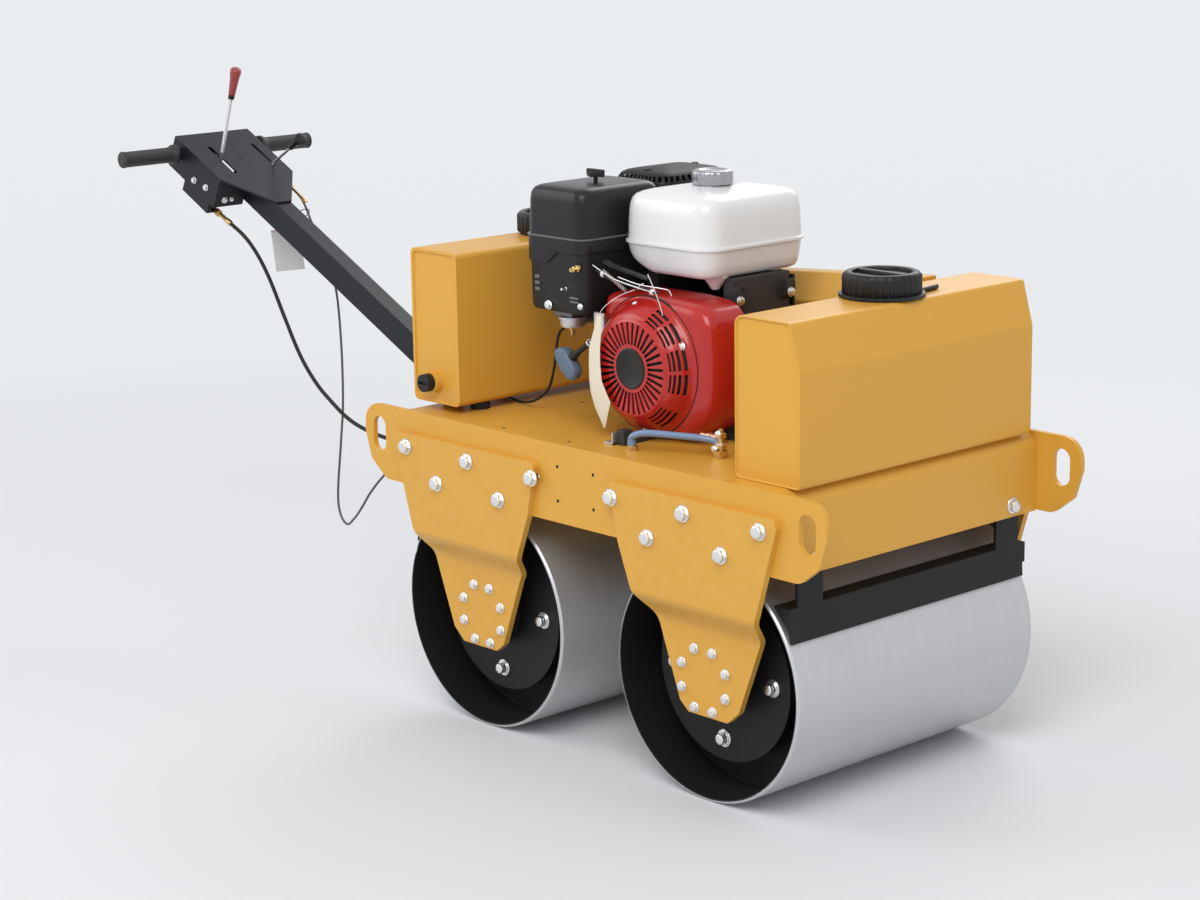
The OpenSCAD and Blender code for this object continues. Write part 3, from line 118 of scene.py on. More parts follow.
def applyModifiers(obj):
    bpy.context.view_layer.update()
    done = bpy.data.meshes.new_from_object(obj.evaluated_get(bpy.context.evaluated_depsgraph_get()))
    obj.modifiers.clear()
    obj.data = done


def thicken(obj, wall):
    solid = obj.modifiers.new("wall", "SOLIDIFY")
    solid.thickness = wall * mm
    solid.offset = -1


def easeEdges(obj, width, segments, angle):
    edge = obj.modifiers.new("ease", "BEVEL")
    edge.width = width * mm
    edge.segments = segments
    edge.limit_method = "ANGLE"
    edge.angle_limit = math.radians(angle)


def evenShade(obj):
    shade(obj)
    even = obj.modifiers.new("even", "WEIGHTED_NORMAL")
    even.keep_sharp = True
    applyModifiers(obj)


def circle(n):
    return [(math.cos(2 * math.pi * k / n), math.sin(2 * math.pi * k / n)) for k in range(n)]


def loft(name, rings, angle=38, skip=None):  # rings joined into a skin; skip leaves out faces and the base
    n, last = len(rings[0]), len(rings) - 1
    verts = [v for ring in rings for v in ring]
    faces = [(i * n + k, i * n + (k + 1) % n, (i + 1) * n + (k + 1) % n, (i + 1) * n + k)
             for i in range(last) for k in range(n) if not (skip and skip(i, k))]
    if not skip:
        faces.append(tuple(range(n))[::-1])
    faces.append(tuple(last * n + k for k in range(n)))
    return addMesh(name, verts, faces, angle)


def smoothPath(points, steps):  # the same curve that the solid cables follow
    def blend(a, b, c, d, t):
        return 0.5 * (2 * b + (c - a) * t + (2 * a - 5 * b + 4 * c - d) * t * t + (3 * b - a - 3 * c + d) * t ** 3)
    p = [Vector(q) for q in points]
    out = []
    for i in range(len(p) - 1):
        a, b, c, d = p[max(i - 1, 0)], p[i], p[i + 1], p[min(i + 2, len(p) - 1)]
        out += [blend(a, b, c, d, j / steps) for j in range(steps)]
    return out + [p[-1]]


def pathFrames(path, aside):  # each point of a path with two directions square to it
    aside = Vector(aside)
    for i, p in enumerate(path):
        t = (path[min(i + 1, len(path) - 1)] - path[max(i - 1, 0)]).normalized()
        a = (aside - t * aside.dot(t)).normalized()
        yield p, a, t.cross(a)


def sweepTube(name, path, radius, sides=16, aside=(0, 1, 0)):
    return loft(name, [[p + radius * (a * c + b * s) for c, s in circle(sides)]
                       for p, a, b in pathFrames(path, aside)], 50)


# Cables and hoses lie along the same points as their solids, in metres

cables = dict(
    travel=dict(node="travel_cable", skin="travelCableSkin", slot="rubber", finish="rubber", bends=True,
                diameter=0.008, points=[
        (-1.421, -.070, .830), (-1.357, -.075, .806), (-1.294, -.080, .781), (-1.243, -.085, .747),
        (-1.197, -.090, .701), (-1.137, -.100, .630), (-1.076, -.110, .562), (-1.015, -.120, .517),
        (-.953, -.130, .488), (-.876, -.140, .460), (-.793, -.145, .446), (-.700, -.140, .440),
        (-.600, -.125, .446), (-.514, -.120, .450)]),
    throttle=dict(node="throttle_cable", skin="throttleCableSkin", slot="rubber", finish="cableGrey", bends=True,
                  diameter=0.005, points=[
        (-1.366, .080, .879), (-1.315, .085, .843), (-1.284, .085, .799), (-1.242, .080, .740),
        (-1.174, .060, .675), (-1.141, .045, .563), (-1.122, .030, .440), (-1.114, .015, .357),
        (-1.111, 0, .252), (-1.094, -.010, .209), (-1.058, -.020, .191), (-1.010, -.035, .216),
        (-.965, -.050, .249), (-.930, -.055, .285), (-.885, -.060, .324), (-.800, -.070, .385),
        (-.700, -.078, .430), (-.600, -.080, .452), (-.514, -.080, .458)]),
    choke=dict(node="choke_cable", skin="chokeCableSkin", slot="rubber", finish="rubber", diameter=0.005, points=[
        (-.450, -.125, .573), (-.400, -.130, .573), (-.350, -.145, .574), (-.300, -.155, .584),
        (-.258, -.158, .610), (-.238, -.160, .650), (-.228, -.161, .695), (-.220, -.161, .720),
        (-.206, -.161, .732)]),
    hose=dict(node="fuel_hose", skin="hoseSkin", slot="hose_blue", finish="hoseBlue", aside=(1, 0, 0.2), fixed=True,
              diameter=0.012, points=[
        (.081, -.269, .582), (.084, -.270, .594), (.110, -.264, .603), (.160, -.242, .603),
        (.205, -.219, .601), (.226, -.207, .595), (.228, -.205, .584)]),
)


def cablePath(data):
    return smoothPath([(midX + x, y, z) for x, y, z in data["points"]], 6)


def makeCable(data):
    path = cablePath(data)
    tube = sweepTube(data["skin"], path, data["diameter"] / 2, 14, data.get("aside", (0, 1, 0)))
    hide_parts(data["node"])
    if data.get("bends"):
        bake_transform(tube)
    else:
        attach(tube, "machine")
    return tube


tubes = {key: makeCable(data) for key, data in cables.items()}
print("cables laid")


# Shader groups

def newGroup(name, inputs, outputs):  # a tuple stands for a colour, any other value for a float
    tree = bpy.data.node_groups.new(name, "ShaderNodeTree")
    for label, value in inputs.items():
        kind = "NodeSocketColor" if isinstance(value, tuple) else "NodeSocketFloat"
        socket = tree.interface.new_socket(label.replace("_", " "), in_out="INPUT", socket_type=kind)
        socket.default_value = value
    for label in outputs:
        kind = "NodeSocketColor" if label == "Color" else "NodeSocketFloat"
        tree.interface.new_socket(label, in_out="OUTPUT", socket_type=kind)
    return tree, tree.nodes.new("NodeGroupInput").outputs, tree.nodes.new("NodeGroupOutput")


def feed(tree, node, socket, source):  # links a socket, or sets it when the source is a constant
    if hasattr(source, "is_linked"):
        tree.links.new(source, node.inputs[socket])
    else:
        node.inputs[socket].default_value = source


def addNode(tree, kind, links=(), **values):
    node = tree.nodes.new("ShaderNode" + kind)
    for key, value in values.items():
        setattr(node, key, value)
    for socket, source in links:
        feed(tree, node, socket, source)
    return node


def mixColor(tree, factor, a, b):
    return addNode(tree, "Mix", [(0, factor), (6, a), (7, b)], data_type="RGBA").outputs[2]


def calc(tree, operation, a, b, clamp=False):
    return addNode(tree, "Math", [(0, a), (1, b)], operation=operation, use_clamp=clamp).outputs[0]


def ramp(tree, source, low, high):
    return addNode(tree, "MapRange", [("Value", source), ("From Min", low), ("From Max", high)]).outputs["Result"]


def objectPlace(tree):
    return addNode(tree, "TexCoord").outputs["Object"]


def noise(tree, where, scale, detail, rough=0.5):
    return addNode(tree, "TexNoise", [("Vector", where), ("Scale", scale), ("Detail", detail),
                                      ("Roughness", rough)]).outputs["Fac"]


def makeToneGroup():  # slow drift of tone and roughness over a surface
    tree, start, end = newGroup("surfaceTone", dict(Color=(0.5, 0.5, 0.5, 1), Drift=0.1, Scale=4.0, Roughness=0.4,
                                                    Rough_Drift=0.1), ["Color", "Roughness"])
    swing = calc(tree, "SUBTRACT", noise(tree, objectPlace(tree), start["Scale"], 5.0, 0.6), 0.5)
    gain = calc(tree, "ADD", calc(tree, "MULTIPLY", swing, start["Drift"]), 1.0)
    scaled = addNode(tree, "VectorMath", [(0, start["Color"]), ("Scale", gain)], operation="SCALE")
    rough = calc(tree, "MULTIPLY", swing, start["Rough Drift"])
    feed(tree, end, "Color", scaled.outputs["Vector"])
    feed(tree, end, "Roughness", calc(tree, "ADD", rough, start["Roughness"], True))
    return tree


def makeGrainGroup():  # fine height of sprayed paint, cast metal or moulded plastic
    tree, start, end = newGroup("surfaceGrain", dict(Scale=300.0, Depth=1.0), ["Height"])
    fine = noise(tree, objectPlace(tree), start["Scale"], 3.0)
    feed(tree, end, "Height", calc(tree, "MULTIPLY", fine, start["Depth"]))
    return tree


def makeWearAndHighlightGroup():  # paler, rubbed edges where the surface turns sharply; on the arm the paler edge is also a painted highlight along its edges
    tree, start, end = newGroup("edgeWearAndHighlight", dict(Amount=0.3, Sharpness=0.56), ["Mask"])
    edge = ramp(tree, addNode(tree, "NewGeometry").outputs["Pointiness"], start["Sharpness"], 0.68)
    patch = ramp(tree, noise(tree, objectPlace(tree), 60.0, 4.0), 0.35, 0.65)
    both = calc(tree, "MULTIPLY", edge, patch, True)
    feed(tree, end, "Mask", calc(tree, "MULTIPLY", both, start["Amount"]))
    return tree


def makeStreakGroup():  # streaks that run round a rolled drum
    tree, start, end = newGroup("rolledStreaks", dict(Scale=60.0, Depth=1.0), ["Fac", "Height"])
    squeezed = addNode(tree, "Mapping", [("Vector", objectPlace(tree)), ("Scale", (0.06, 1.0, 0.06))])
    lines = noise(tree, squeezed.outputs["Vector"], start["Scale"], 6.0, 0.65)
    feed(tree, end, "Fac", lines)
    feed(tree, end, "Height", calc(tree, "MULTIPLY", lines, start["Depth"]))
    return tree


groups = dict(tone=makeToneGroup(), grain=makeGrainGroup(), wearAndHighlight=makeWearAndHighlightGroup(), streak=makeStreakGroup())


def useGroup(tree, key, **values):
    node = addNode(tree, "Group", node_tree=groups[key])
    for label, value in values.items():
        node.inputs[label.replace("_", " ")].default_value = value
    return node


# Finishes: slot, colour, how it drifts, gloss, grain and edge wear of each material; on the arm the paler edge is
# partly a painted highlight

finishes = dict(
    ochrePaint=dict(slot="ochre_paint", color=(0.68, 0.355, 0.048), rough=0.36, drift=0.05, grain=(420, 0.25),
                    spec=0.35, wearAndHighlight=0.06, wornAndHighlight=(0.78, 0.55, 0.27)),
    blackPaint=dict(slot="black_paint", color=0.012, rough=0.5, drift=0.3, grain=(380, 0.3), spec=0.25, wearAndHighlight=0.5,
                    wornAndHighlight=0.12),
    # armPaint: its paler edges are partly wear and partly a painted highlight, the bright line of light along the arm's
    # edges
    armPaint=dict(color=(0.013, 0.015, 0.020), rough=0.36, drift=0.2, grain=(400, 0.3), spec=0.22, wearAndHighlight=0.5,
                  wornAndHighlight=(0.14, 0.15, 0.17)),
    zinc=dict(slot="zinc_steel", color=(0.82, 0.82, 0.83), rough=0.32, drift=0.15, grain=(500, 0.15), metal=1.0,
              wearAndHighlight=0.2, wornAndHighlight=0.9),
    castAlloy=dict(slot="cast_alloy", color=(0.22, 0.22, 0.23), rough=0.5, drift=0.2, grain=(260, 0.8), metal=0.7,
                   wearAndHighlight=0.5, wornAndHighlight=0.5),
    darkCast=dict(slot="black_paint", color=(0.045, 0.045, 0.048), rough=0.5, drift=0.2, grain=(260, 0.8),
                  metal=0.4, wearAndHighlight=0.4, wornAndHighlight=0.2),
    cowlRed=dict(slot="cowl_red", color=(0.44, 0.014, 0.010), rough=0.24, drift=0.12, grain=(350, 0.2), coat=0.3,
                 spec=0.4, wearAndHighlight=0.15, wornAndHighlight=(0.62, 0.1, 0.07)),
    tankWhite=dict(slot="tank_white", color=(0.74, 0.745, 0.75), rough=0.24, drift=0.03, grain=(300, 0.12),
                   coat=0.3, spec=0.4, wearAndHighlight=0.05, wornAndHighlight=0.85),
    blackPlastic=dict(slot="black_plastic", color=0.012, rough=0.4, drift=0.25, grain=(700, 0.4), wearAndHighlight=0.3,
                      spec=0.3, wornAndHighlight=0.08),
    rubber=dict(color=0.016, rough=0.6, drift=0.3, grain=(600, 0.6), wearAndHighlight=0.4, spec=0.25, wornAndHighlight=0.05),
    cableGrey=dict(color=(0.075, 0.075, 0.078), rough=0.5, drift=0.25, grain=(700, 0.4), wearAndHighlight=0.2, wornAndHighlight=0.12),
    gripRubber=dict(color=(0.02, 0.02, 0.022), rough=0.55, drift=0.3, grain=(900, 0.8), wearAndHighlight=0.4, wornAndHighlight=0.06),
    knobRed=dict(slot="knob_red", color=(0.30, 0.035, 0.03), rough=0.35, drift=0.2, grain=(500, 0.2), coat=0.3,
                 wearAndHighlight=0.3, wornAndHighlight=(0.45, 0.12, 0.1)),
    handleGrey=dict(slot="handle_grey", color=(0.10, 0.145, 0.20), rough=0.45, drift=0.15, grain=(600, 0.4),
                    wearAndHighlight=0.3, wornAndHighlight=(0.2, 0.25, 0.3)),
    ropeCotton=dict(slot="rope_cotton", color=(0.62, 0.58, 0.48), rough=0.85, drift=0.3, grain=(1500, 2.0), wearAndHighlight=0,
                    wornAndHighlight=(0.7, 0.7, 0.6)),
    hoseBlue=dict(slot="hose_blue", color=(0.16, 0.25, 0.40), rough=0.4, drift=0.15, grain=(500, 0.15), coat=0.3,
                  wearAndHighlight=0.1, wornAndHighlight=(0.1, 0.25, 0.6)),
    capSteel=dict(slot="zinc_steel", color=(0.40, 0.40, 0.42), rough=0.3, drift=0.2, grain=(300, 0.4), metal=0.9,
                  wearAndHighlight=0.3, wornAndHighlight=0.6),
    bowlAlloy=dict(slot="cast_alloy", color=(0.66, 0.66, 0.67), rough=0.4, drift=0.15, grain=(300, 0.6), metal=0.7,
                   wearAndHighlight=0.2, wornAndHighlight=0.8),
    brass=dict(slot="brass", color=(0.62, 0.44, 0.18), rough=0.32, drift=0.25, grain=(400, 0.3), metal=1.0,
               wearAndHighlight=0.3, wornAndHighlight=(0.85, 0.7, 0.4)),
    paper=dict(slot="rope_cotton", color=(0.72, 0.66, 0.52), rough=0.85, drift=0.08, grain=(900, 0.8), wearAndHighlight=0,
               wornAndHighlight=(0.8, 0.75, 0.6)),
    # seamGrey: on the cleaner's seam this pale grey is a painted highlight
    seamGrey=dict(slot="black_plastic", color=(0.12, 0.12, 0.125), rough=0.3, drift=0.1, grain=(600, 0.2), wearAndHighlight=0.1,
                  wornAndHighlight=0.15),
    cleanerBlack=dict(slot="black_plastic", color=(0.014, 0.014, 0.017), rough=0.3, drift=0.15, grain=(700, 0.25),
                      spec=0.3, wearAndHighlight=0.2, wornAndHighlight=0.1),
    # paintedShadeBlack: painted shade, a flat black that stands in for the unlit inside of holes, slits, the starter's
    # seam groove and the hollow behind its slots
    paintedShadeBlack=dict(slot="black_paint", color=0.008, rough=0.8, drift=0.2, grain=(300, 0.5), wearAndHighlight=0, wornAndHighlight=0),
    shieldSteel=dict(slot="zinc_steel", color=0.62, rough=0.38, drift=0.15, grain=(300, 0.3), metal=0.9, wearAndHighlight=0.2,
                     wornAndHighlight=0.8),
    clearPouch=dict(slot="rope_cotton", color=(0.50, 0.49, 0.49), rough=0.3, drift=0.12, grain=(60, 1.5), coat=0.3,
                    wearAndHighlight=0, wornAndHighlight=0.6, scale=18.0),
    copper=dict(slot="brass", color=(0.72, 0.38, 0.22), rough=0.3, drift=0.2, grain=(400, 0.2), metal=1.0, wearAndHighlight=0.3,
                wornAndHighlight=(0.85, 0.6, 0.4)),
)


drumLook = dict(axle=285, height=213, rim=207.5, color=(0.58, 0.585, 0.595), drift=0.12, scale=3.0, rough=0.38,
                dark=(0.50, 0.505, 0.515), pale=(0.66, 0.665, 0.675), streaks=(70.0, 0.5), share=0.45, metal=0.6)


def rgba(color):  # a single number is a grey
    return (*color, 1) if isinstance(color, tuple) else (color, color, color, 1)


def newSurface(name):
    mat = bpy.data.materials.new(name)
    mat.use_nodes = True
    materials[name] = mat
    return mat.node_tree, mat.node_tree.nodes["Principled BSDF"]


def addBump(tree, shader, group, strength, distance):
    bump = addNode(tree, "Bump", [("Height", group.outputs["Height"]), ("Strength", strength), ("Distance", distance)])
    feed(tree, shader, "Normal", bump.outputs["Normal"])


def makeFinish(name, d):
    tree, shader = newSurface(name)
    tone = useGroup(tree, "tone", Color=rgba(d["color"]), Drift=d["drift"], Scale=d.get("scale", 6.0),
                    Roughness=d["rough"], Rough_Drift=0.18)
    wearAndHighlight = useGroup(tree, "wearAndHighlight", Amount=d["wearAndHighlight"])
    scale, depth = d["grain"]
    feed(tree, shader, "Base Color", mixColor(tree, wearAndHighlight.outputs["Mask"], tone.outputs["Color"], rgba(d["wornAndHighlight"])))
    feed(tree, shader, "Roughness", tone.outputs["Roughness"])
    addBump(tree, shader, useGroup(tree, "grain", Scale=scale, Depth=depth), 0.12, 0.0006)
    feed(tree, shader, "Metallic", d.get("metal", 0.0))
    feed(tree, shader, "Specular IOR Level", d.get("spec", 0.5))
    feed(tree, shader, "Coat Weight", d.get("coat", 0.0))
    feed(tree, shader, "Coat Roughness", 0.15)


def makeDrumSteel():
    d = drumLook
    tree, shader = newSurface("drumSteel")
    tone = useGroup(tree, "tone", Color=rgba(d["color"]), Drift=d["drift"], Scale=d["scale"], Roughness=d["rough"],
                    Rough_Drift=0.12)
    streak = useGroup(tree, "streak", Scale=d["streaks"][0], Depth=d["streaks"][1])
    banded = mixColor(tree, streak.outputs["Fac"], rgba(d["dark"]), rgba(d["pale"]))
    feed(tree, shader, "Base Color", mixColor(tree, d["share"], tone.outputs["Color"], banded))
    feed(tree, shader, "Roughness", tone.outputs["Roughness"])
    addBump(tree, shader, streak, 0.08, 0.0005)
    feed(tree, shader, "Metallic", d["metal"])


def finish(obj, name):
    obj.data.materials.clear()
    obj.data.materials.append(materials[name])
    return obj


materials = {}
for name, d in finishes.items():
    makeFinish(name, d)
makeDrumSteel()
for key, tube in tubes.items():
    finish(tube, cables[key]["finish"])
print("materials mixed")


# Solids of the CAD model with their sharp edges eased, as folded and cast metal has them

bodyOf = {node: body for body, nodes in frame["record"]["behaviour"]["bodies"].items() for node in nodes}
slotOf = {s["node"]: s["material_slot"] for s in frame["record"]["subparts"]}


def easedCopy(node, width):
    mesh = frame["nodes"][node].data.copy()
    work = bmesh.new()
    work.from_mesh(mesh)
    bmesh.ops.remove_doubles(work, verts=work.verts, dist=1e-6)
    bmesh.ops.dissolve_limit(work, angle_limit=math.radians(1.0), verts=work.verts, edges=work.edges)
    work.to_mesh(mesh)
    work.free()
    obj = bpy.data.objects.new(node + "Piece", mesh)
    scene.collection.objects.link(obj)
    easeEdges(obj, width, 2, 32)
    evenShade(obj)
    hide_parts(node)
    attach(obj, bodyOf[node])
    return obj


easeLook = dict(arm=3.0, paint=1.2, drum=1.0, other=0.8)
easedNodes = dict(
    ochrePaint=["side_plate_right", "side_plate_left", "deck", "front_cross_member", "rear_cross_member",
                "front_bracket_right", "front_bracket_left", "rear_bracket_right", "rear_bracket_left",
                "front_tank", "rear_tank"],
    blackPaint=["front_hubs", "rear_hubs", "front_scraper", "rear_scraper", "arm_bracket",
                "pump", "front_carriers", "rear_carriers"],
    armPaint=["steering_arm", "control_head", "handlebar"],
    zinc=["front_exciter", "rear_exciter", "pump_pulley"],
    rubber=["tank_pads", "front_buffers", "rear_buffers", "drive_belt"],
    castAlloy=["cylinder_block"],
    darkCast=["crankcase", "flywheel", "silencer"],
    blackPlastic=["drain_plug", "wing_knob"],
    brass=["cable_glands"],
)
for finishName, nodes in easedNodes.items():
    for node in nodes:
        kind = "arm" if node == "steering_arm" else "paint" if finishName == "ochrePaint" else "other"
        finish(easedCopy(node, easeLook[kind]), finishName)
print("solids eased")


# Drums: bright rolling face, dark inside

def paintDrum(node, side):
    obj = finish(easedCopy(node, easeLook["drum"]), "drumSteel")
    obj.data.materials.append(materials["blackPaint"])
    axis = at(side * drumLook["axle"], 0, drumLook["height"])
    for face in obj.data.polygons:
        d = face.center - axis
        face.material_index = 0 if math.hypot(d.x, d.z) > drumLook["rim"] * mm else 1


paintDrum("front_drum", 1)
paintDrum("rear_drum", -1)
print("drums painted")


# Lofts: a pressing is a stack of rounded rings, a lathe turns a profile round an axis

def roundedRing(cx, cy, z, length, width, r, n=7, straight=0):
    r = max(0.0005, min(r, length / 2 - 0.0002, width / 2 - 0.0002))
    corners = []
    for sx, sy, a0 in ((1, -1, -90), (1, 1, 0), (-1, 1, 90), (-1, -1, 180)):
        ox, oy = cx + sx * (length / 2 - r), cy + sy * (width / 2 - r)
        corners.append([Vector((ox + r * math.cos(math.radians(a0 + 90 * i / n)),
                                oy + r * math.sin(math.radians(a0 + 90 * i / n)), z)) for i in range(n + 1)])
    ring = []
    for k, corner in enumerate(corners):
        a, b = corner[-1], corners[(k + 1) % 4][0]
        ring += corner + [a.lerp(b, (j + 1) / (straight + 1)) for j in range(straight)]
    return ring


def pressingRings(low, high, steps, zLow=None, straight=0):  # steps: height, inset and corner radius, in millimetres
    cx, cy, wide, deep = (low.x + high.x) / 2, (low.y + high.y) / 2, high.x - low.x, high.y - low.y
    z0 = low.z if zLow is None else zLow
    return [roundedRing(cx, cy, z0 + z * mm, wide - 2 * i * mm, deep - 2 * i * mm, r * mm, 7, straight)
            for z, i, r in steps]


def pressing(name, low, high, steps, zLow=None):
    return loft(name, pressingRings(low, high, steps, zLow))


quarter = math.radians(90)
axisTurns = dict(Z=Matrix.Identity(3), right=Matrix.Rotation(quarter, 3, "X"), left=Matrix.Rotation(-quarter, 3, "X"),
                 front=Matrix.Rotation(quarter, 3, "Y"), back=Matrix.Rotation(-quarter, 3, "Y"))


def lathe(name, profile, centre, axis="Z", segments=64, angle=38):  # profile: radius and height, in millimetres
    turn = axisTurns[axis] if isinstance(axis, str) else axis
    rings = [[turn @ (Vector((max(r, 0.01) * c, max(r, 0.01) * s, h)) * mm) + Vector(centre)
              for c, s in circle(segments)] for r, h in profile]
    return loft(name, rings, angle)


boltShape = dict(points=24, washer=[(1.05, 0), (1.07, 0.03), (1.07, 0.15), (1.04, 0.19), (0.88, 0.2)], head=[
    (0.875, 0.2, 0), (0.875, 0.66, 0), (0.86, 0.72, 0.5), (0.78, 0.78, 1), (0.5, 0.82, 1), (0.2, 0.835, 1)])


def hexBolt(place, axis, d, washer=True, name="bolt"):  # a chamfered hexagon on its washer, sized by its thread
    turn = axisTurns[axis] if isinstance(axis, str) else axis
    spots = circle(boltShape["points"])
    rings = [[(r * c, r * s, h) for c, s in spots] for r, h in boltShape["washer"] if washer]
    for r, h, blend in boltShape["head"]:
        ring = []
        for k, (c, s) in enumerate(spots):
            a = 2 * math.pi * k / len(spots) % (math.pi / 3) - math.pi / 6
            reach = r * (math.cos(math.pi / 6) / math.cos(a) * (1 - blend) + 0.93 * blend)
            ring.append((reach * c, reach * s, h))
        rings.append(ring)
    return loft(name, [[turn @ (Vector(v) * d * mm) + Vector(place) for v in ring] for ring in rings], 30)


def join(name, parts):
    verts, faces, slots, mats = [], [], [], []
    for part in parts:
        o = len(verts)
        verts += [part.matrix_world @ v.co for v in part.data.vertices]
        for f in part.data.polygons:
            faces.append([o + i for i in f.vertices])
            mat = part.data.materials[f.material_index] if part.data.materials else None
            if mat not in mats:
                mats.append(mat)
            slots.append(mats.index(mat))
    obj = addMesh(name, verts, faces, autoAngle=38)
    for mat in mats:
        obj.data.materials.append(mat)
    if len(slots) == len(obj.data.polygons):
        obj.data.polygons.foreach_set("material_index", slots)
    for part in parts:
        bpy.data.objects.remove(part)
    return obj


def mount(obj, body, material, *nodes, slot=None):
    work = bmesh.new()
    work.from_mesh(obj.data)
    bmesh.ops.recalc_face_normals(work, faces=work.faces)
    work.to_mesh(obj.data)
    work.free()
    if material:
        finish(obj, material)
    if nodes:
        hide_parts(*nodes)
    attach(obj, body)


# Belt cover: a tall folded box beside the engine, as high as the water tank in front of it

beltCoverLook = dict(rear=-165, front=329, base=570.3, high=838.5, slope=0.0695, corner=60,
                     sections=[(147, 46), (194, 0), (230, 0)],
                     bolts=[(-140, 590), (300, 590), (-110, 770), (300, 810)])


def makeBeltCover():
    d = beltCoverLook
    rings = []
    for y, inset in d["sections"]:
        rear, high = d["rear"] + inset, d["high"] - inset
        cx = rear + d["corner"]
        cz = high - (d["front"] - cx) * d["slope"] - d["corner"]
        ring = [(d["front"], d["base"]), (d["front"], high)]
        ring += [(cx + d["corner"] * math.cos(math.radians(a)), cz + d["corner"] * math.sin(math.radians(a)))
                 for a in range(94, 181, 8)]
        rings.append([at(x, y, z) for x, z in ring + [(rear, d["base"])]])
    cover = loft("beltCover", rings)
    easeEdges(cover, 2.5, 3, 30)
    evenShade(cover)
    mount(cover, "machine", "ochrePaint", "belt_guard")
    bolts = [hexBolt(at(x, d["sections"][-1][0], z), "left", 8) for x, z in d["bolts"]]
    mount(join("beltCoverBolts", bolts), "machine", "zinc")


makeBeltCover()


# Fuel tank: two pressings crimped together at a flange

fuelTankLook = dict(steps=[
    (0, 34, 18), (1, 22, 26), (4, 15, 32), (10, 11, 35), (24, 7.5, 38), (46, 4.5, 41), (50.5, 3.5, 42), (51.5, 0, 45),
    (55.5, 0, 45), (57, 3.5, 42), (62, 4, 42), (88, 5, 41), (108, 6.5, 39), (121, 9, 36), (129, 12.5, 33),
    (135, 18, 30), (139, 27, 27), (142.5, 40, 23), (145.5, 57, 19), (148.5, 76, 14), (150.5, 92, 8)],
    lower=(-8, 0), upper=(-4, 6), rise=18, riseFrom=0, riseOver=62,
    sump=[(24, 8), (24, 3), (19, -3), (12.5, -11), (8.5, -18), (6.5, -20), (0, -20.5)], sumpPlace=(108, -92),
    neck=[(26, -10), (26, 2), (24, 4), (0, 4)])


def baseMiddle(node):  # the middle of the bottom of a solid
    low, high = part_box(node)
    return Vector(((low.x + high.x) / 2, (low.y + high.y) / 2, low.z))


def makeFuelTank():
    low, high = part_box("fuel_tank")
    d = fuelTankLook
    low, high = low + Vector((*d["lower"], 0)) * mm, high + Vector((*d["upper"], 0)) * mm
    rings = pressingRings(low, high, d["steps"], None, 12)
    for ring, share in zip(rings, (1, 1, 0.97, 0.9, 0.55)):  # the bottom climbs towards the carburettor
        for v in ring:
            t = min(1, max(0, (at(d["riseFrom"], 0, 0).x - v.x) / (d["riseOver"] * mm)))
            v.z += d["rise"] * share * t * t * (3 - 2 * t) * mm
    body = loft("fuelTankBody", rings)
    sump = lathe("fuelSump", d["sump"], (*at(*d["sumpPlace"], 0).xy, low.z), "Z", 40)
    neck = lathe("fuelTankNeck", d["neck"], baseMiddle("fuel_cap"))
    parts = [finish(body, "tankWhite"), finish(sump, "tankWhite"), finish(neck, "zinc")]
    mount(join("fuelTankShell", parts), "machine", None, "fuel_tank", slot="tank_white")


def makeRibbedCap(name, node, body, material, ribs, profile, rib, drop=0):
    low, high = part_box(node)
    centre = baseMiddle(node) - Vector((0, 0, drop * mm))
    r, h = (high.x - low.x) / 2, high.z - centre.z
    rings = []
    for share, height, wave in profile:
        ring = []
        for k, (c, s) in enumerate(circle(ribs * 6)):
            swell = share * r * (1 - wave * rib * (0.5 - 0.5 * math.cos(math.pi * k / 3)) ** 0.6)
            ring.append(centre + Vector((swell * c, swell * s, height * h)))
        rings.append(ring)
    mount(loft(name, rings, 50), body, material, node)
    return centre, r, h


fuelCapLook = [(0.80, 0, 0), (0.985, 0.0, 1), (1.0, 0.05, 1), (1.0, 0.74, 1), (0.985, 0.84, 1), (0.94, 0.92, 0.5),
               (0.86, 0.97, 0), (0.72, 1.0, 0), (0.62, 0.99, 0), (0.58, 0.93, 0), (0.30, 0.92, 0), (0.0001, 0.93, 0)]
waterCapLook = [(0.90, 0.0, 0), (0.93, 0.0, 0), (0.935, 0.10, 0), (0.975, 0.11, 1), (1.0, 0.14, 1), (1.0, 0.82, 1),
                (0.985, 0.88, 1), (0.955, 0.92, 0.4), (0.93, 0.97, 0), (0.895, 1.0, 0), (0.80, 1.0, 0),
                (0.765, 0.985, 0), (0.752, 0.94, 0), (0.745, 0.85, 0), (0.70, 0.84, 0), (0.0001, 0.84, 0)]


def makeWaterCap(node, body):
    centre, r, h = makeRibbedCap(node + "Shell", node, body, "blackPlastic", 32, waterCapLook, 0.035)
    grip = roundedRing(centre.x, centre.y, centre.z + 0.80 * h, 1.50 * r, 0.16 * r, 0.004)
    narrow, rise = Matrix.Diagonal((0.985, 0.86, 1)), Vector((0, 0, h))
    top = [centre + narrow @ (v - centre) + 0.19 * rise for v in grip]
    bar = loft(node + "GripBar", [grip, [v + 0.15 * rise for v in grip], top])
    mount(bar, body, "blackPlastic")


strapLook = dict(z=839, ring=[(-8, 0.3), (5, 0.3), (6, 1.2), (6, 5.5), (5, 6.5), (-8, 6.5)],
                 tab=[(34, 40), (31, 66), (27, 96), (23, 112)], tabHigh=4.5)


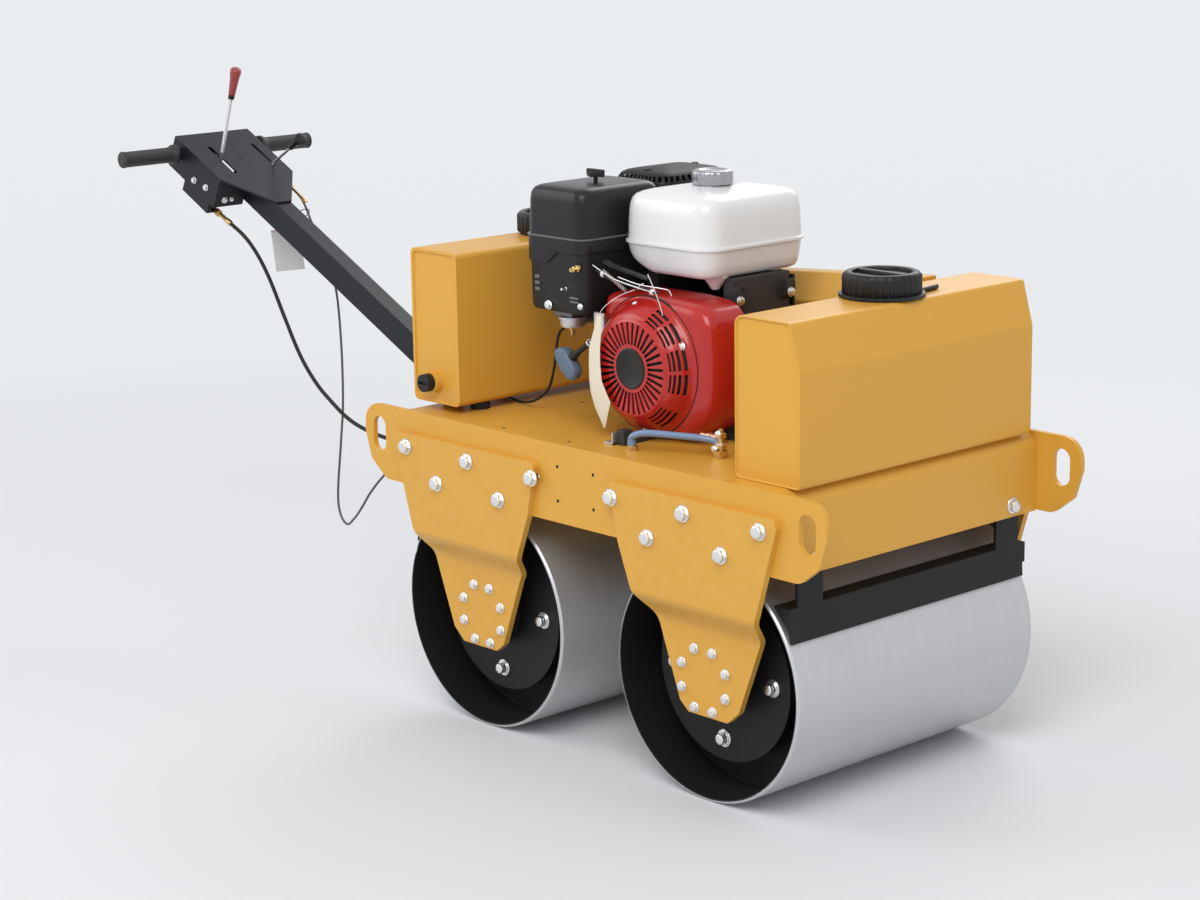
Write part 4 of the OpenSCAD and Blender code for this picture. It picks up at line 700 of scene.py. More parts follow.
def makeCapStrap():  # ring and tab of the strap that keeps the front cap
    low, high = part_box("front_filler_cap")
    r = (high.x - low.x) / 2 / mm
    foot = baseMiddle("front_filler_cap")
    foot.z = strapLook["z"] * mm
    ring = lathe("strapRing", [(r + out, h) for out, h in strapLook["ring"]], foot, "Z", 56)
    tab = [foot + Vector((x, y, strapLook["tabHigh"])) * mm for x, y in strapLook["tab"]]
    strap = sweepTube("strapTab", smoothPath(tab, 5), 4.5 * mm, 10, (0, 0, 1))
    mount(join("capStrap", [ring, strap]), "machine", "blackPlastic")


makeFuelTank()
makeRibbedCap("fuelCapShell", "fuel_cap", "petrol_cap", "capSteel", 16, fuelCapLook, 0.05, 9)
makeCapStrap()
makeWaterCap("front_filler_cap", "front_cap")
makeWaterCap("rear_filler_cap", "rear_cap")
print("tank and caps made")


# Air cleaner: moulded tray, skirt and domed cover

cleanerLook = dict(
    tray=[(0, 18, 12), (2, 9, 18), (8, 5, 20), (30, 4, 21), (92, 3.5, 22), (116, 3.5, 22)],
    cover=[(104, 12, 14), (88, 3, 20), (89, 0.6, 23), (92, 0, 23), (131, 0, 23), (133.5, 0.4, 23), (134.5, 2.2, 22),
           (137, 2.4, 22), (165, 2.8, 22), (196, 3.6, 22), (208, 4.8, 22), (214, 7, 22), (218.5, 10.5, 22),
           (221.3, 16, 21), (222.8, 23, 19), (223.8, 34, 16), (224.5, 60, 10)],
    seam=[(133.6, -0.2, 23), (134, -1.2, 23.5), (136.2, -1.2, 23.5), (136.6, -0.2, 23)],
    shorter=9, skirtFrom=-180, skirtOver=26, skirtRise=21, wall=3.4, bolts=[(-181, 784, 8), (-98, 790, 5.5)],
    pin=[(3.2, 0), (3.2, 2), (2.4, 2.2), (2.4, 12), (1.6, 13)], pinPlace=(-134, 818),
    pads=[(-114, 796, 22, 3.5), (-114, 803, 22, 3.5), (-210, 832, 12, 6), (-210, 821, 12, 6), (-210, 810, 12, 6)],
    nut=[(7, 0), (7, 4), (5, 6), (5, 12), (3, 13)], nutPlace=(-102, 857))


def makeAirCleaner():
    d = cleanerLook
    low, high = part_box("air_cleaner_cover")
    high = high - Vector((d["shorter"], 0, 0)) * mm
    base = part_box("air_cleaner_case")[0].z
    mount(pressing("cleanerTray", low, high, d["tray"], base), "machine", "blackPlastic", "air_cleaner_case")
    rings = pressingRings(low, high, d["cover"], base, 14)
    for ring in rings[:4]:  # the skirt hangs lower at its rear end
        for v in ring:
            share = (v.x - at(d["skirtFrom"], 0, 0).x) / (d["skirtOver"] * mm)
            v.z += d["skirtRise"] * mm * min(1, max(0, share))
    mount(loft("cleanerCover", rings), "machine", "cleanerBlack", "air_cleaner_cover")
    # the seam is a lip in a paler grey than the cover: the pale grey is a painted highlight for the bright line along
    # the seam
    mount(pressing("cleanerSeamHighlight", low, high, d["seam"], base), "machine", "seamGrey")

    wall = low.y / mm + d["wall"]
    parts = [hexBolt(at(x, wall, z), "right", size) for x, z, size in d["bolts"]]
    x, z = d["pinPlace"]
    parts.append(lathe("pin", d["pin"], at(x, wall, z), "right", 20))
    mount(join("cleanerBolts", parts), "machine", "zinc")
    pads = []
    for x, z, wide, tall in d["pads"]:  # raised bars and pads
        pad = roundedRing(0, 0, 0, wide * mm, tall * mm, 0.0017, 4)
        pads.append(loft("rib", [[at(x, y, z) + Vector((v.x * k, 0, v.y * k)) for v in pad]
                                 for y, k in ((wall + 1, 1), (wall - 1.2, 1), (wall - 1.8, 0.86))]))
    mount(join("cleanerRibs", pads), "machine", "seamGrey")
    x, z = d["nutPlace"]
    wing = [lathe("nut", d["nut"], at(x, wall, z), "right", 6)]
    leaf = roundedRing(0, 0, 0, 0.010, 0.007, 0.003, 4)
    for side in (-1, 1):
        spots = [at(x + side * 9, wall - 8 + y, z + side * 3) for y in (-1.2, 1.2)]
        wing.append(loft("leaf", [[spot + Vector((side * v.x, 0, v.y)) for v in leaf] for spot in spots]))
    mount(join("cleanerNut", wing), "machine", "brass")


makeAirCleaner()
print("air cleaner made")


# Recoil starter: a bowl with a ring of slots in its face and vents in its slope

recoilLook = dict(
    centreX=40, rim=-189.5, slots=36, slotWidth=5.2, slotFrom=42, slotTo=80.5, depth=42, face=83.5, hub=33, bands=9,
    groups=[(28, 48), (51, 69), (-21, -2), (2, 20), (-66, -41)], skirt=[(116, 2.2), (118, 0.8), (120, 0), (120, -5)],
    cap=[(36, 39), (36, 42.5), (34.5, 43.4), (33, 43.7), (32, 43), (0, 43)],
    well=[(112, 1), (105, 10), (88, 32), (83, 35), (40, 36), (0, 36)],
    seam=[(119.6, -4), (119.6, -0.6), (121.8, -0.6), (121.8, -4)],
    bolts=[(26, 106, 11, 8), (-89, 108, 8, 6), (100, 106, 10, 6), (168, 108, 8, 6)])


def makeRecoilBowl():
    d = recoilLook
    low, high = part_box("recoil_cover")
    middle = Vector((at(d["centreX"], 0, 0).x, d["rim"] * mm, (low.z + high.z) / 2))
    depth, first, last = d["depth"], d["slotFrom"], d["slotTo"]
    profile = [(d["hub"], depth)] + [(first + (last - first) * i / 4, depth) for i in range(5)]
    profile += [(d["face"] - 2, depth - 0.2), (d["face"] + 1.5, depth - 1.5), (d["face"] + 4, depth - 4.5)]
    slope, bands = len(profile) - 1, d["bands"]
    r0, h0 = profile[-1]
    for i in range(1, bands + 1):
        t = i / bands
        profile.append((r0 + (113 - r0) * t, h0 + (5 - h0) * (0.25 * t + 0.75 * t * t)))
    profile += d["skirt"]
    n = d["slots"]
    verts, faces = [], []
    for r, h in profile:
        off = math.asin(min(0.9, d["slotWidth"] / 2 / r))
        for s in range(n):
            a = 2 * math.pi * (s + 0.5) / n
            for w in (a - off, a + off, a + math.pi / n):
                verts.append(middle + Vector((r * math.cos(w), -h, r * math.sin(w))) * mm)
    m = 3 * n

    def isOpen(i, k):
        if 1 <= i < 5:
            return k % 3 == 0
        deg = math.degrees(2 * math.pi * (k // 3 + 0.5 + (0.0, 0.25, 0.5)[k % 3]) / n)
        deg = deg - 360 if deg > 180 else deg
        return slope < i < slope + bands and (i - slope) % 2 == 1 and any(a <= deg <= b for a, b in d["groups"])

    for i in range(len(profile) - 1):
        for k in range(m):
            if not isOpen(i, k):
                faces.append((i * m + k, (i + 1) * m + k, (i + 1) * m + (k + 1) % m, i * m + (k + 1) % m))
    bowl = addMesh("recoilBowl", verts, faces)
    thicken(bowl, 2.6)
    easeEdges(bowl, 0.5, 2, 50)
    applyModifiers(bowl)
    shade(bowl, 42)
    mount(bowl, "machine", "cowlRed", "recoil_cover")
    # the well is a black dish behind the slotted face and the seam a flat black ring flush with the cowl: both painted
    # shade, for the dark hollow seen through the slots and the shadowed groove round the bowl
    for name, key, material in (("recoilHub", "cap", "blackPlastic"), ("recoilWellShade", "well", "paintedShadeBlack"),
                                ("recoilSeamShade", "seam", "paintedShadeBlack")):
        mount(lathe(name, d[key], middle, "right"), "machine", material)
    for a, r, h, size in d["bolts"]:
        w = math.radians(a)
        place = middle + Vector((r * math.cos(w), -h, r * math.sin(w))) * mm
        mount(hexBolt(place, "right", size, name="recoilBolt"), "machine", "zinc")


makeRecoilBowl()
print("recoil starter made")


# Fan cowl: a pressed housing with a soft front edge, swept along the crankshaft

cowlLook = dict(
    size=240, centre=(40, 700),
    rings=[(-100.5, 1.0), (-150, 1.0), (-168, 0.995), (-178, 0.975), (-184, 0.945), (-187, 0.90), (-188.5, 0.84)],
    shares=[(-0.50, 0.44), (-0.40, 0.50), (0.42, 0.50), (0.58, 0.44), (0.64, 0.30), (0.645, -0.12), (0.60, -0.32),
            (0.46, -0.46), (0.26, -0.505), (-0.12, -0.50), (-0.34, -0.40), (-0.50, -0.18)])


def chaikin(points):  # rounds off a closed outline
    for _ in range(3):
        out = []
        for (ax, ay), (bx, by) in zip(points, points[1:] + points[:1]):
            out += [(ax * 0.75 + bx * 0.25, ay * 0.75 + by * 0.25), (ax * 0.25 + bx * 0.75, ay * 0.25 + by * 0.75)]
        points = out
    return points


def makeCowl():
    d = cowlLook
    x, z = d["centre"]
    outline = [(u * d["size"], v * d["size"]) for u, v in chaikin(d["shares"])]
    rings = [[at(x + u * k, y, z + v * k) for u, v in outline] for y, k in d["rings"]]
    mount(loft("cowlShell", rings, 45), "machine", "cowlRed", "fan_cowl")


makeCowl()
print("cowl made")


# Bolts of the frame: flange washers and hexagon heads in bright zinc

bracketBolts = [(-0.927, 0.915), (-0.48, 0.744), (-0.05, 0.921), (0.389, 0.748), (0.826, 0.923)]
boltLook = dict(bracketY=338, lowY=303, halfWidth=198, height=316.96, pcd=111, scraper=(488, 250.2, 449.3),
                pivot=(-548, 30, 460))
facings = ((-1, "right"), (1, "left"))


def makeFrameBolts():
    d = boltLook
    axle, height, r = drumLook["axle"], drumLook["height"], d["pcd"] / 2
    x, y, z = d["scraper"]
    px, py, pz = d["pivot"]
    parts = []
    for side, facing in facings:
        for end in (-1, 1):
            for u, v in bracketBolts:
                place = at(end * (axle + u * d["halfWidth"]), side * d["bracketY"], height + v * d["height"])
                parts.append(hexBolt(place, facing, 14))
            for i in range(8):
                a = math.radians(22.5 + 45 * i)
                place = at(end * axle + r * math.cos(a), side * d["lowY"], height + r * math.sin(a))
                parts.append(hexBolt(place, facing, 9))
        parts.append(hexBolt(at(x, side * y, z), "front", 14))
        parts.append(hexBolt(at(-x, side * y, z), "back", 14))
        parts.append(hexBolt(at(px, side * py, pz), facing, 18))
    mount(join("frameBolts", parts), "machine", "zinc", "frame_bolts")


makeFrameBolts()
print("bolts driven")


# Carrier discs: bolts on stacked washers, turning with the drums

carrierLook = dict(ring=113, seat=254, stack=[
    (15, -0.6), (15.6, 0), (15.6, 2.2), (15, 2.8), (12.5, 2.9), (12.8, 3.1), (12.8, 5.2), (12.2, 5.8), (9, 5.9)])


def makeCarrierBolts(end, body):
    d = carrierLook
    parts = []
    for side, facing in facings:
        for c, s in circle(4):
            x, z = drumLook["axle"] * end + d["ring"] * c, drumLook["height"] - d["ring"] * s * side
            parts.append(lathe("stack", d["stack"], at(x, side * d["seat"], z), facing, 28))
            parts.append(hexBolt(at(x, side * (d["seat"] + 5.6), z), facing, 11.5, washer=False))
    mount(join("carrierBolts", parts), body, "zinc")


makeCarrierBolts(1, "front_drum_set")
makeCarrierBolts(-1, "rear_drum_set")
print("carrier bolts made")


# Steering arm: frame of its own, along the arm from the pivot and square to it

armLook = dict(slope=26.6, pivot=(-548, 0, 460), headFront=916.8, top=31, sideBolts=[(955, -12), (998, -20)],
               frontBolts=[(-70, 6.5), (-52, 5), (70, 6.5), (52, 5)], slits=(-1, 5))
armSlope = math.radians(armLook["slope"])
along = Vector((-math.cos(armSlope), 0, math.sin(armSlope)))
square = Vector((math.sin(armSlope), 0, math.cos(armSlope)))
left = Vector((0, 1, 0))
armTurns = {key: Matrix(axes).transposed() for key, axes in dict(
    right=(along, square, -left), left=(-along, square, left), back=(square, -left, -along)).items()}


def onArm(u, v, n):  # along the arm, to the left, and square to the arm's top
    return at(*armLook["pivot"]) + (along * u + left * v + square * n) * mm


def makeHeadDetails():
    d = armLook
    parts = []
    for u, n in d["sideBolts"]:
        parts.append(hexBolt(onArm(u, -94, n), armTurns["right"], 7))
        parts.append(hexBolt(onArm(u, 94, n), armTurns["left"], 7))
    parts += [hexBolt(onArm(d["headFront"], v, -22), armTurns["back"], size) for v, size in d["frontBolts"]]
    mount(join("headBolts", parts), "arm", "zinc")
    # black strips flush with the head's top: painted shade standing in for the dark inside of two slits, which are not
    # cut
    slits = [loft("slitShade", [[onArm(u, w, n) for u, w in ((974, v), (974, v + 2.4), (998, v + 2.4), (998, v))]
                           for n in (d["top"] - 0.6, d["top"] + 0.12)]) for v in d["slits"]]
    mount(join("headSlitShades", slits), "arm", "paintedShadeBlack")


makeHeadDetails()


# Cable ends: threaded sleeves with lock nuts where the travel cable leaves its clamp

cableEndLook = [(1.05, -2), (1.35, -2), (1.35, 14), (1.2, 15), (1.2, 16), (1.9, 16.2), (1.9, 21), (1.2, 21.4),
                (1.2, 23), (1.9, 23.2), (1.9, 28), (1.25, 28.4), (1.25, 58), (1.5, 60), (1.5, 74), (1.3, 76),
                (1.05, 78)]


def makeCableEnd(key):
    path = cablePath(cables[key])
    turn = (path[2] - path[0]).normalized()
    side = (left - turn * left.dot(turn)).normalized()
    r = cables[key]["diameter"] / mm / 2
    sleeve = lathe(key + "CableEnd", [(share * r, h) for share, h in cableEndLook], path[0],
                   Matrix((side, turn.cross(side), turn)).transposed(), 24)
    mount(sleeve, "arm", "brass")


makeCableEnd("travel")
makeCableEnd("throttle")
print("control head fitted")


# Levers: zinc rods through the head's slots, each with its own knob

leverLook = dict(
    seat=(988.1, -19.4),
    boss=[(6.1, 0), (12.4, 0), (13.2, 0.8), (13.2, 25.6), (12.4, 26.4), (6.1, 26.4)],
    collar=[(0.2, -5), (2.4, -5), (2.8, -4), (2.8, 4), (2.4, 5), (0.2, 5)],
    travel=dict(across=-42, tilt=6.6, length=258, rod=4, body="travel_control", knob=[
        (5.6, -61), (7.4, -59), (7.6, -54), (8.2, -46), (9.8, -24), (11.6, -12), (12, -8), (11.2, -4), (8.5, -1.2),
        (4, -0.1), (0, 0)]),
    throttle=dict(across=66, tilt=-34, length=185, rod=3, body="throttle_control", knob=[
        (5, -38), (6.2, -37), (6.6, -30), (7.4, -18), (12.8, -7), (14.2, -4), (13.8, -1.8), (11, -0.4), (5, 0),
        (0, 0)]))


def makeLever(name, node, material):
    d = leverLook[name]
    t = math.radians(d["tilt"])
    axis = along * math.sin(t) + square * math.cos(t)
    turn = Matrix((left.cross(axis), left, axis)).transposed()
    foot = onArm(leverLook["seat"][0], d["across"], leverLook["seat"][1])
    r, end = d["rod"], d["length"]
    profile = [(r, 0), (r, end * 0.25), (r * 1.04, end * 0.252), (r, end * 0.256), (r, end - 30), (0, end - 30)]
    rod = lathe("rod", profile, foot, turn, 20)
    boss = lathe("boss", leverLook["boss"], foot - left * 13.2 * mm, armTurns["left"], 32)
    mount(join(name + "Rod", [rod, boss]), d["body"], "zinc", node)
    mount(lathe(name + "Knob", [(kr, end + h) for kr, h in d["knob"]], foot, turn, 40), d["body"], material)
    collar = lathe(name + "Collar", [(r + out, h) for out, h in leverLook["collar"]],
                   foot + axis * (end + d["knob"][0][1] - 4) * mm, turn, 24)
    mount(collar, d["body"], "blackPlastic")


makeLever("travel", "travel_lever", "knobRed")
makeLever("throttle", "throttle_lever", "blackPlastic")
print("levers made")


# Silencer guard: a dished cover with rows of slots round its shoulder

silencerLook = dict(high=125.5, straight=15, openRing=5, rings=[
    (0, 0, 24), (2, -0.3, 25), (60, 0, 26), (84, 0.3, 27), (100, 0.8, 27), (104, 1.8, 27), (113, 7.5, 25),
    (115, 9.5, 24), (118.5, 16, 22), (121, 27, 20), (123.5, 44, 14), (125.5, 62, 8)],
    shield=[(58, -0.8, 30), (58.5, -1.6, 31), (78, -1.6, 34), (79, -0.2, 34)])


def makeSilencerGuard():
    d = silencerLook
    low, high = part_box("silencer_guard")
    scale = (high.z - low.z) / mm / d["high"]
    rings = pressingRings(low, high, [(z * scale, i, r) for z, i, r in d["rings"]], None, d["straight"])
    guard = loft("silencerShell", rings, None, lambda i, k: i == d["openRing"] and k % 2 == 0)
    thicken(guard, 1.6)
    applyModifiers(guard)
    shade(guard, 42)
    mount(guard, "machine", "blackPaint", "silencer_guard")
    shield = pressing("silencerShield", low, high, [(z * scale, i, r) for z, i, r in d["shield"]])
    mount(shield, "machine", "shieldSteel")


makeSilencerGuard()
print("silencer guard made")


# Paper tag tied to the cowl, and the bright guide of the starter's rope

tagLook = dict(y=-237, columns=5, thick=0.5, rows=[
    (786, -36, -26), (762, -42, -24), (728, -54, -27), (700, -54.5, -26), (671, -53.5, -22), (648, -50, -8),
    (636, -46, -1), (619, -40, -8), (603, -31, -14), (588, -22.5, -20.5)],
    wire=[(-31, -237, 784), (-20, -236, 800), (10, -228, 822), (34, -212, 834)])
guideLook = dict(place=(-74, -196), size=(0.026, 0.006, 0.002), heights=(730, 730.5, 779, 779.5))
pouchLook = dict(place=(-1375, 52, 772), wide=96, high=88, lean=-9, bulge=2.6, cells=12,
                 tie=[(-1300, 79, 822), (-1296, 88, 812)])


def closedSheet(name, front, back, w, angle):  # two grids of points, w to a row, joined at their edges
    m, rows = len(front), len(front) // w
    faces = []
    for i in range(rows - 1):
        for k in range(w - 1):
            q = (i * w + k, i * w + k + 1, (i + 1) * w + k + 1, (i + 1) * w + k)
            faces += [q, tuple(m + j for j in q[::-1])]
    edge = [k for k in range(w)] + [i * w + w - 1 for i in range(1, rows)]
    edge += [(rows - 1) * w + k for k in range(w - 2, -1, -1)] + [i * w for i in range(rows - 2, 0, -1)]
    faces += [(a, b, m + b, m + a) for a, b in zip(edge, edge[1:] + edge[:1])]
    return addMesh(name, front + back, faces, angle)


def makeTag():
    d = tagLook
    front, back, last = [], [], d["columns"] - 1
    for i, (z, x0, x1) in enumerate(d["rows"]):
        bow = -5 * math.sin(math.pi * i / (len(d["rows"]) - 1))
        for k in range(last + 1):
            x, y = x0 + (x1 - x0) * k / last, d["y"] + bow - 1.6 * math.sin(math.pi * k / last)
            front.append(at(x, y, z))
            back.append(at(x, y + d["thick"], z))
    mount(closedSheet("paperTag", front, back, last + 1, 40), "machine", "paper")
    wire = smoothPath([at(*q) for q in d["wire"]], 6)
    mount(sweepTube("tagWire", wire, 0.7 * mm, 8, (1, 0, 0)), "machine", "zinc")


def makeRopeGuide():
    d = guideLook
    middle = at(*d["place"], 0)
    strip = roundedRing(middle.x, middle.y, 0, *d["size"], 3)
    rings = [[v + Vector((0, 0, z * mm)) for v in strip] for z in d["heights"]]
    mount(loft("guideStrip", rings), "machine", "shieldSteel")


def makePouch():  # clear bag for papers, tied to the throttle cable under the arm
    d = pouchLook
    px, py, pz = d["place"]
    n, a = d["cells"], math.radians(d["lean"])
    front, back = [], []
    for side, grid in ((-1, front), (1, back)):
        for i in range(n + 1):
            for k in range(n + 1):
                u, v = k / n, i / n
                puff = (math.sin(math.pi * u) * math.sin(math.pi * v)) ** 0.6
                crease = 0.35 * math.sin(9 * u + 4 * v) * math.sin(7 * v)
                x, z = (u - 0.1) * d["wide"], -v * d["high"]
                grid.append(at(px + x * math.cos(a) + z * math.sin(a),
                               py + side * (0.25 + d["bulge"] * puff * (1 + crease)) + 6 * u,
                               pz - x * math.sin(a) + z * math.cos(a)))
    mount(closedSheet("paperPouch", front, back, n + 1, 60), "arm", "clearPouch")
    top = [front[k].lerp(back[k], 0.5) for k in range(n + 1)]
    mount(sweepTube("pouchZip", top, 1.1 * mm, 8), "arm", "knobRed")
    tie = smoothPath([top[5], top[5] + Vector((0, 0.004, 0.016))] + [at(*q) for q in d["tie"]] + [top[6]], 6)
    mount(sweepTube("pouchTie", tie, 0.9 * mm, 8, (1, 0, 0)), "arm", "blackPlastic")


makeTag()
makeRopeGuide()
makePouch()
print("tag and pouch hung")


# Starter handle: a smooth T of grey plastic on a black neck, hanging from its rope

handleLook = dict(
    width=76, thick=22.8, hang=34, neck=59.3, middle=(-0.19, -0.05),
    outline=[(0.0, 0.26), (-0.12, 0.34), (-0.30, 0.42), (-0.42, 0.30), (-0.44, 0.02), (-0.37, -0.38), (-0.20, -0.52),
             (0.0, -0.42), (0.05, -0.28), (0.02, -0.02)],
    swell=[(-1.0, 0.74), (-0.93, 0.86), (-0.72, 0.95), (-0.36, 0.99), (0, 1.0)],
    sleeve=[(2.9, 8), (2.9, 0.4), (5.2, 0.4), (6.5, 1.6), (6.5, 9), (5.4, 11), (4.7, 26), (5.4, 40), (8.2, 52), (8, 60),
            (0, 60)],
    ferrule=[(6.4, 1), (6.9, 1.2), (6.9, 4.4), (6.4, 4.6)])
ropeLook = dict(away=1.5, start=(19.5, 0.75), end=(22.5, -2.25), after=[(25.5, -3.2), (30, -2.2)])  # from the rim, mm


def makeStarterRope():  # passes behind the tag, and grows longer beside it as the handle is pulled
    d = ropeLook
    low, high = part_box("recoil_rope")
    middle = Vector((high.x, (low.y + high.y) / 2, (low.z + high.z) / 2))

    def spot(out, aside):
        return middle + Vector((-out, aside, 0)) * mm
    start, end = spot(*d["start"]), spot(*d["end"])
    path = smoothPath([spot(0, d["away"]), spot(9, d["away"]), spot(16, d["away"] + 0.8), start], 5)
    path += [start.lerp(end, i / 8) for i in range(1, 8)]
    path += smoothPath([end] + [spot(*q) for q in d["after"]] + [Vector((low.x, middle.y, middle.z))], 5)
    rope = finish(sweepTube("starterRope", path, (high.z - low.z) / 2, 12, (0, 0, 1)), "ropeCotton")
    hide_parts("recoil_rope")
    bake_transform(rope)


def makeStarterHandle():
    d = handleLook
    low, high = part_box("recoil_rope")
    root = Vector((low.x, (low.y + high.y) / 2, (low.z + high.z) / 2))
    c, s = math.cos(math.radians(d["hang"])), math.sin(math.radians(d["hang"]))
    hang, up = Vector((c, 0, s)), Vector((-s, 0, c))
    mu, mv = d["middle"]
    rings = []
    for depth, k in d["swell"] + [(-t, w) for t, w in d["swell"][-2::-1]]:
        middle = -hang * d["neck"] + left * depth * d["thick"] / 2
        outline = [(mu + (u - mu) * k, mv + (v - mv) * k) for u, v in chaikin(d["outline"])]
        rings.append([root + (middle + (hang * u + up * v) * d["width"]) * mm for u, v in outline])
    down = Matrix((left.cross(-hang), left, -hang)).transposed()
    parts = [finish(loft("handleGrip", rings, 60), "handleGrey"),
             finish(lathe("handleNeck", d["sleeve"], root, down, 32, 50), "blackPlastic"),
             finish(lathe("handleFerrule", d["ferrule"], root, down, 32), "zinc")]
    mount(join("starterHandle", parts), bodyOf["recoil_handle"], None, "recoil_handle", slot="handle_grey")


makeStarterRope()
makeStarterHandle()
print("starter handle hung")


# Grips: plain rubber sleeves with a soft rim at the end and a flange against the head

gripLook = [
    (0, 0), (14.6, 0), (16.6, 0.7), (17.3, 1.8), (17.3, 4.0), (16.5, 5.0), (16.45, 40), (16.45, 112), (17.0, 119),
    (19.6, 124), (21.2, 126.5), (21.2, 132.6), (20.2, 134), (12.7, 134), (12.7, 6), (0, 6)]


def makeGrip(node):
    low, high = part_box(node)
    right = node.endswith("right")
    end = ((low.x + high.x) / 2, low.y if right else high.y, (low.z + high.z) / 2)
    skin = lathe(node + "Skin", gripLook, end, "left" if right else "right", 56)
    mount(skin, "arm", "gripRubber", node, slot=slotOf[node])


makeGrip("grip_right")
makeGrip("grip_left")
print("grips pushed on")


# Small fittings on the deck: engine feet, hose ends and brass connections

feetLook = dict(
    dark=[((20, -240, 570.2), (50, -110, 582), 2.5), ((90, -150, 570.2), (120, -110, 582), 2.5),
          ((32, -259, 570.2), (50, -236, 596), 2)],
    angle=[((9, -268, 570.2), (32, -250, 574), 1), ((28.5, -268, 570.2), (32, -250, 592), 1)],
    clip=[(6.3, -5), (7.6, -4.4), (7.6, 4.4), (6.3, 5)], clipPlace=(81, -269, 583),
    deckHoles=[(-213, -303, 4), (-45, -299, 3.5), (-274, -58, 4), (-213, 303, 4), (-45, 299, 3.5)],
    plateHoleShades=[(-47, 468.7), (-47, 530), (44, 468.7), (44, 530)], plateY=-326)
fittingLook = dict(
    place=(233, -206),
    stem=[(7, 0), (9.5, 0.5), (9.5, 6), (7, 7), (6, 8), (6, 16), (8.5, 16.5), (8.5, 26), (6, 27), (5, 34), (7.5, 34.5),
          (7.5, 42), (5, 43), (4, 50), (0, 50)],
    lowNut=[(8, 0), (11, 0.6), (11, 8.6), (8, 9.2)], highNut=[(7, 0), (9.6, 0.6), (9.6, 7.6), (7, 8.2)],
    spout=[(5, 0), (5.5, 0.5), (5.5, 18), (7.2, 18.5), (7.2, 24), (5.2, 24.5), (4.4, 42), (0, 42)],
    ring=[(6, 0), (11.5, 0.5), (11.5, 4.5), (6, 5)], bolts=[(2, -9, 612), (-8, -8, 585)])


def boxPiece(name, low, high, ease):  # eased block between two corners, in machine millimetres
    e, tall = ease * 0.5, high[2] - low[2]
    return pressing(name, at(*low), at(*high), [(0, e, ease), (e, 0, ease), (tall - e, 0, ease), (tall, e, ease)])


def makeFeet():
    d = feetLook
    mount(join("engineFeet", [boxPiece("foot", *q) for q in d["dark"]]), "machine", "darkCast")
    mount(join("footAngle", [boxPiece("flange", *q) for q in d["angle"]]), "machine", "shieldSteel")
    mount(lathe("hoseClip", d["clip"], at(*d["clipPlace"]), "Z", 28), "machine", "hoseBlue")
    # thin black discs on the deck and side plate: painted shade standing in for the dark inside of holes that are not
    # cut
    dots = [lathe("hole", [(r, -0.2), (r, 0.15), (0, 0.15)], at(x, y, 570), "Z", 20) for x, y, r in d["deckHoles"]]
    dots += [lathe("hole", [(3.2, -0.3), (3.2, 0.12), (0, 0.12)], at(x, d["plateY"], z), "right", 18)
             for x, z in d["plateHoleShades"]]
    mount(join("plateHoleShades", dots), "machine", "paintedShadeBlack")


def makeConnections():
    d = fittingLook
    x, y = d["place"]
    brass = [lathe("stem", d["stem"], at(x, y, 570.3), "Z", 24), lathe("nut", d["lowNut"], at(x, y, 574), "Z", 6),
             lathe("nut", d["highNut"], at(x, y, 604), "Z", 6)]
    mount(join("fittingBody", brass), "machine", "brass")
    mount(lathe("spout", d["spout"], at(x - 4, y, 603), "back", 24), "machine", "copper")
    steel = [lathe("ring", d["ring"], at(x, y, 592), "Z", 28)]
    steel += [hexBolt(at(x + dx, y + dy, z), "right", 6) for dx, dy, z in d["bolts"]]
    mount(join("fittingSteel", steel), "machine", "zinc")


makeFeet()
makeConnections()
print("deck fittings made")


# Carburettor: throat, bright float bowl and its brass drain

carburettorLook = dict(
    place=(-179, -165), half=21, throatHeight=755, steps=[(755, 3, 6), (757, 1, 7), (763, 0, 8)],
    bowl=[(0, 736), (15, 736.3), (20.5, 738.5), (22.6, 743), (22.8, 752), (25, 752.6), (25, 757), (0, 757)],
    drain=[(0, 722), (3.4, 722.3), (4, 724), (4, 732), (6.4, 732.5), (6.4, 737)])


def makeCarburettor():
    d = carburettorLook
    low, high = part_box("carburettor")
    x, y = d["place"]
    spot = at(x, y, 0)
    half = d["half"] * mm
    body = pressing("carbBody", Vector((low.x, spot.y - half, 0)), Vector((high.x, spot.y + half, 0)),
                    d["steps"] + [(high.z / mm, 0, 8)], 0)
    length = (high.y - spot.y) / mm
    throat = lathe("throat", [(16, 0), (16, length - 6), (21, length - 5.5), (21, length)], at(x, y, d["throatHeight"]),
                   "left", 32)
    mount(join("carbCasting", [body, throat]), "machine", "castAlloy", "carburettor")
    mount(lathe("floatBowl", d["bowl"], spot, "Z", 36), "machine", "bowlAlloy")
    mount(lathe("bowlDrain", d["drain"], spot, "Z", 6), "machine", "brass")


makeCarburettor()


# Under the tank: brackets with their bolts, governor arm, spring and wires

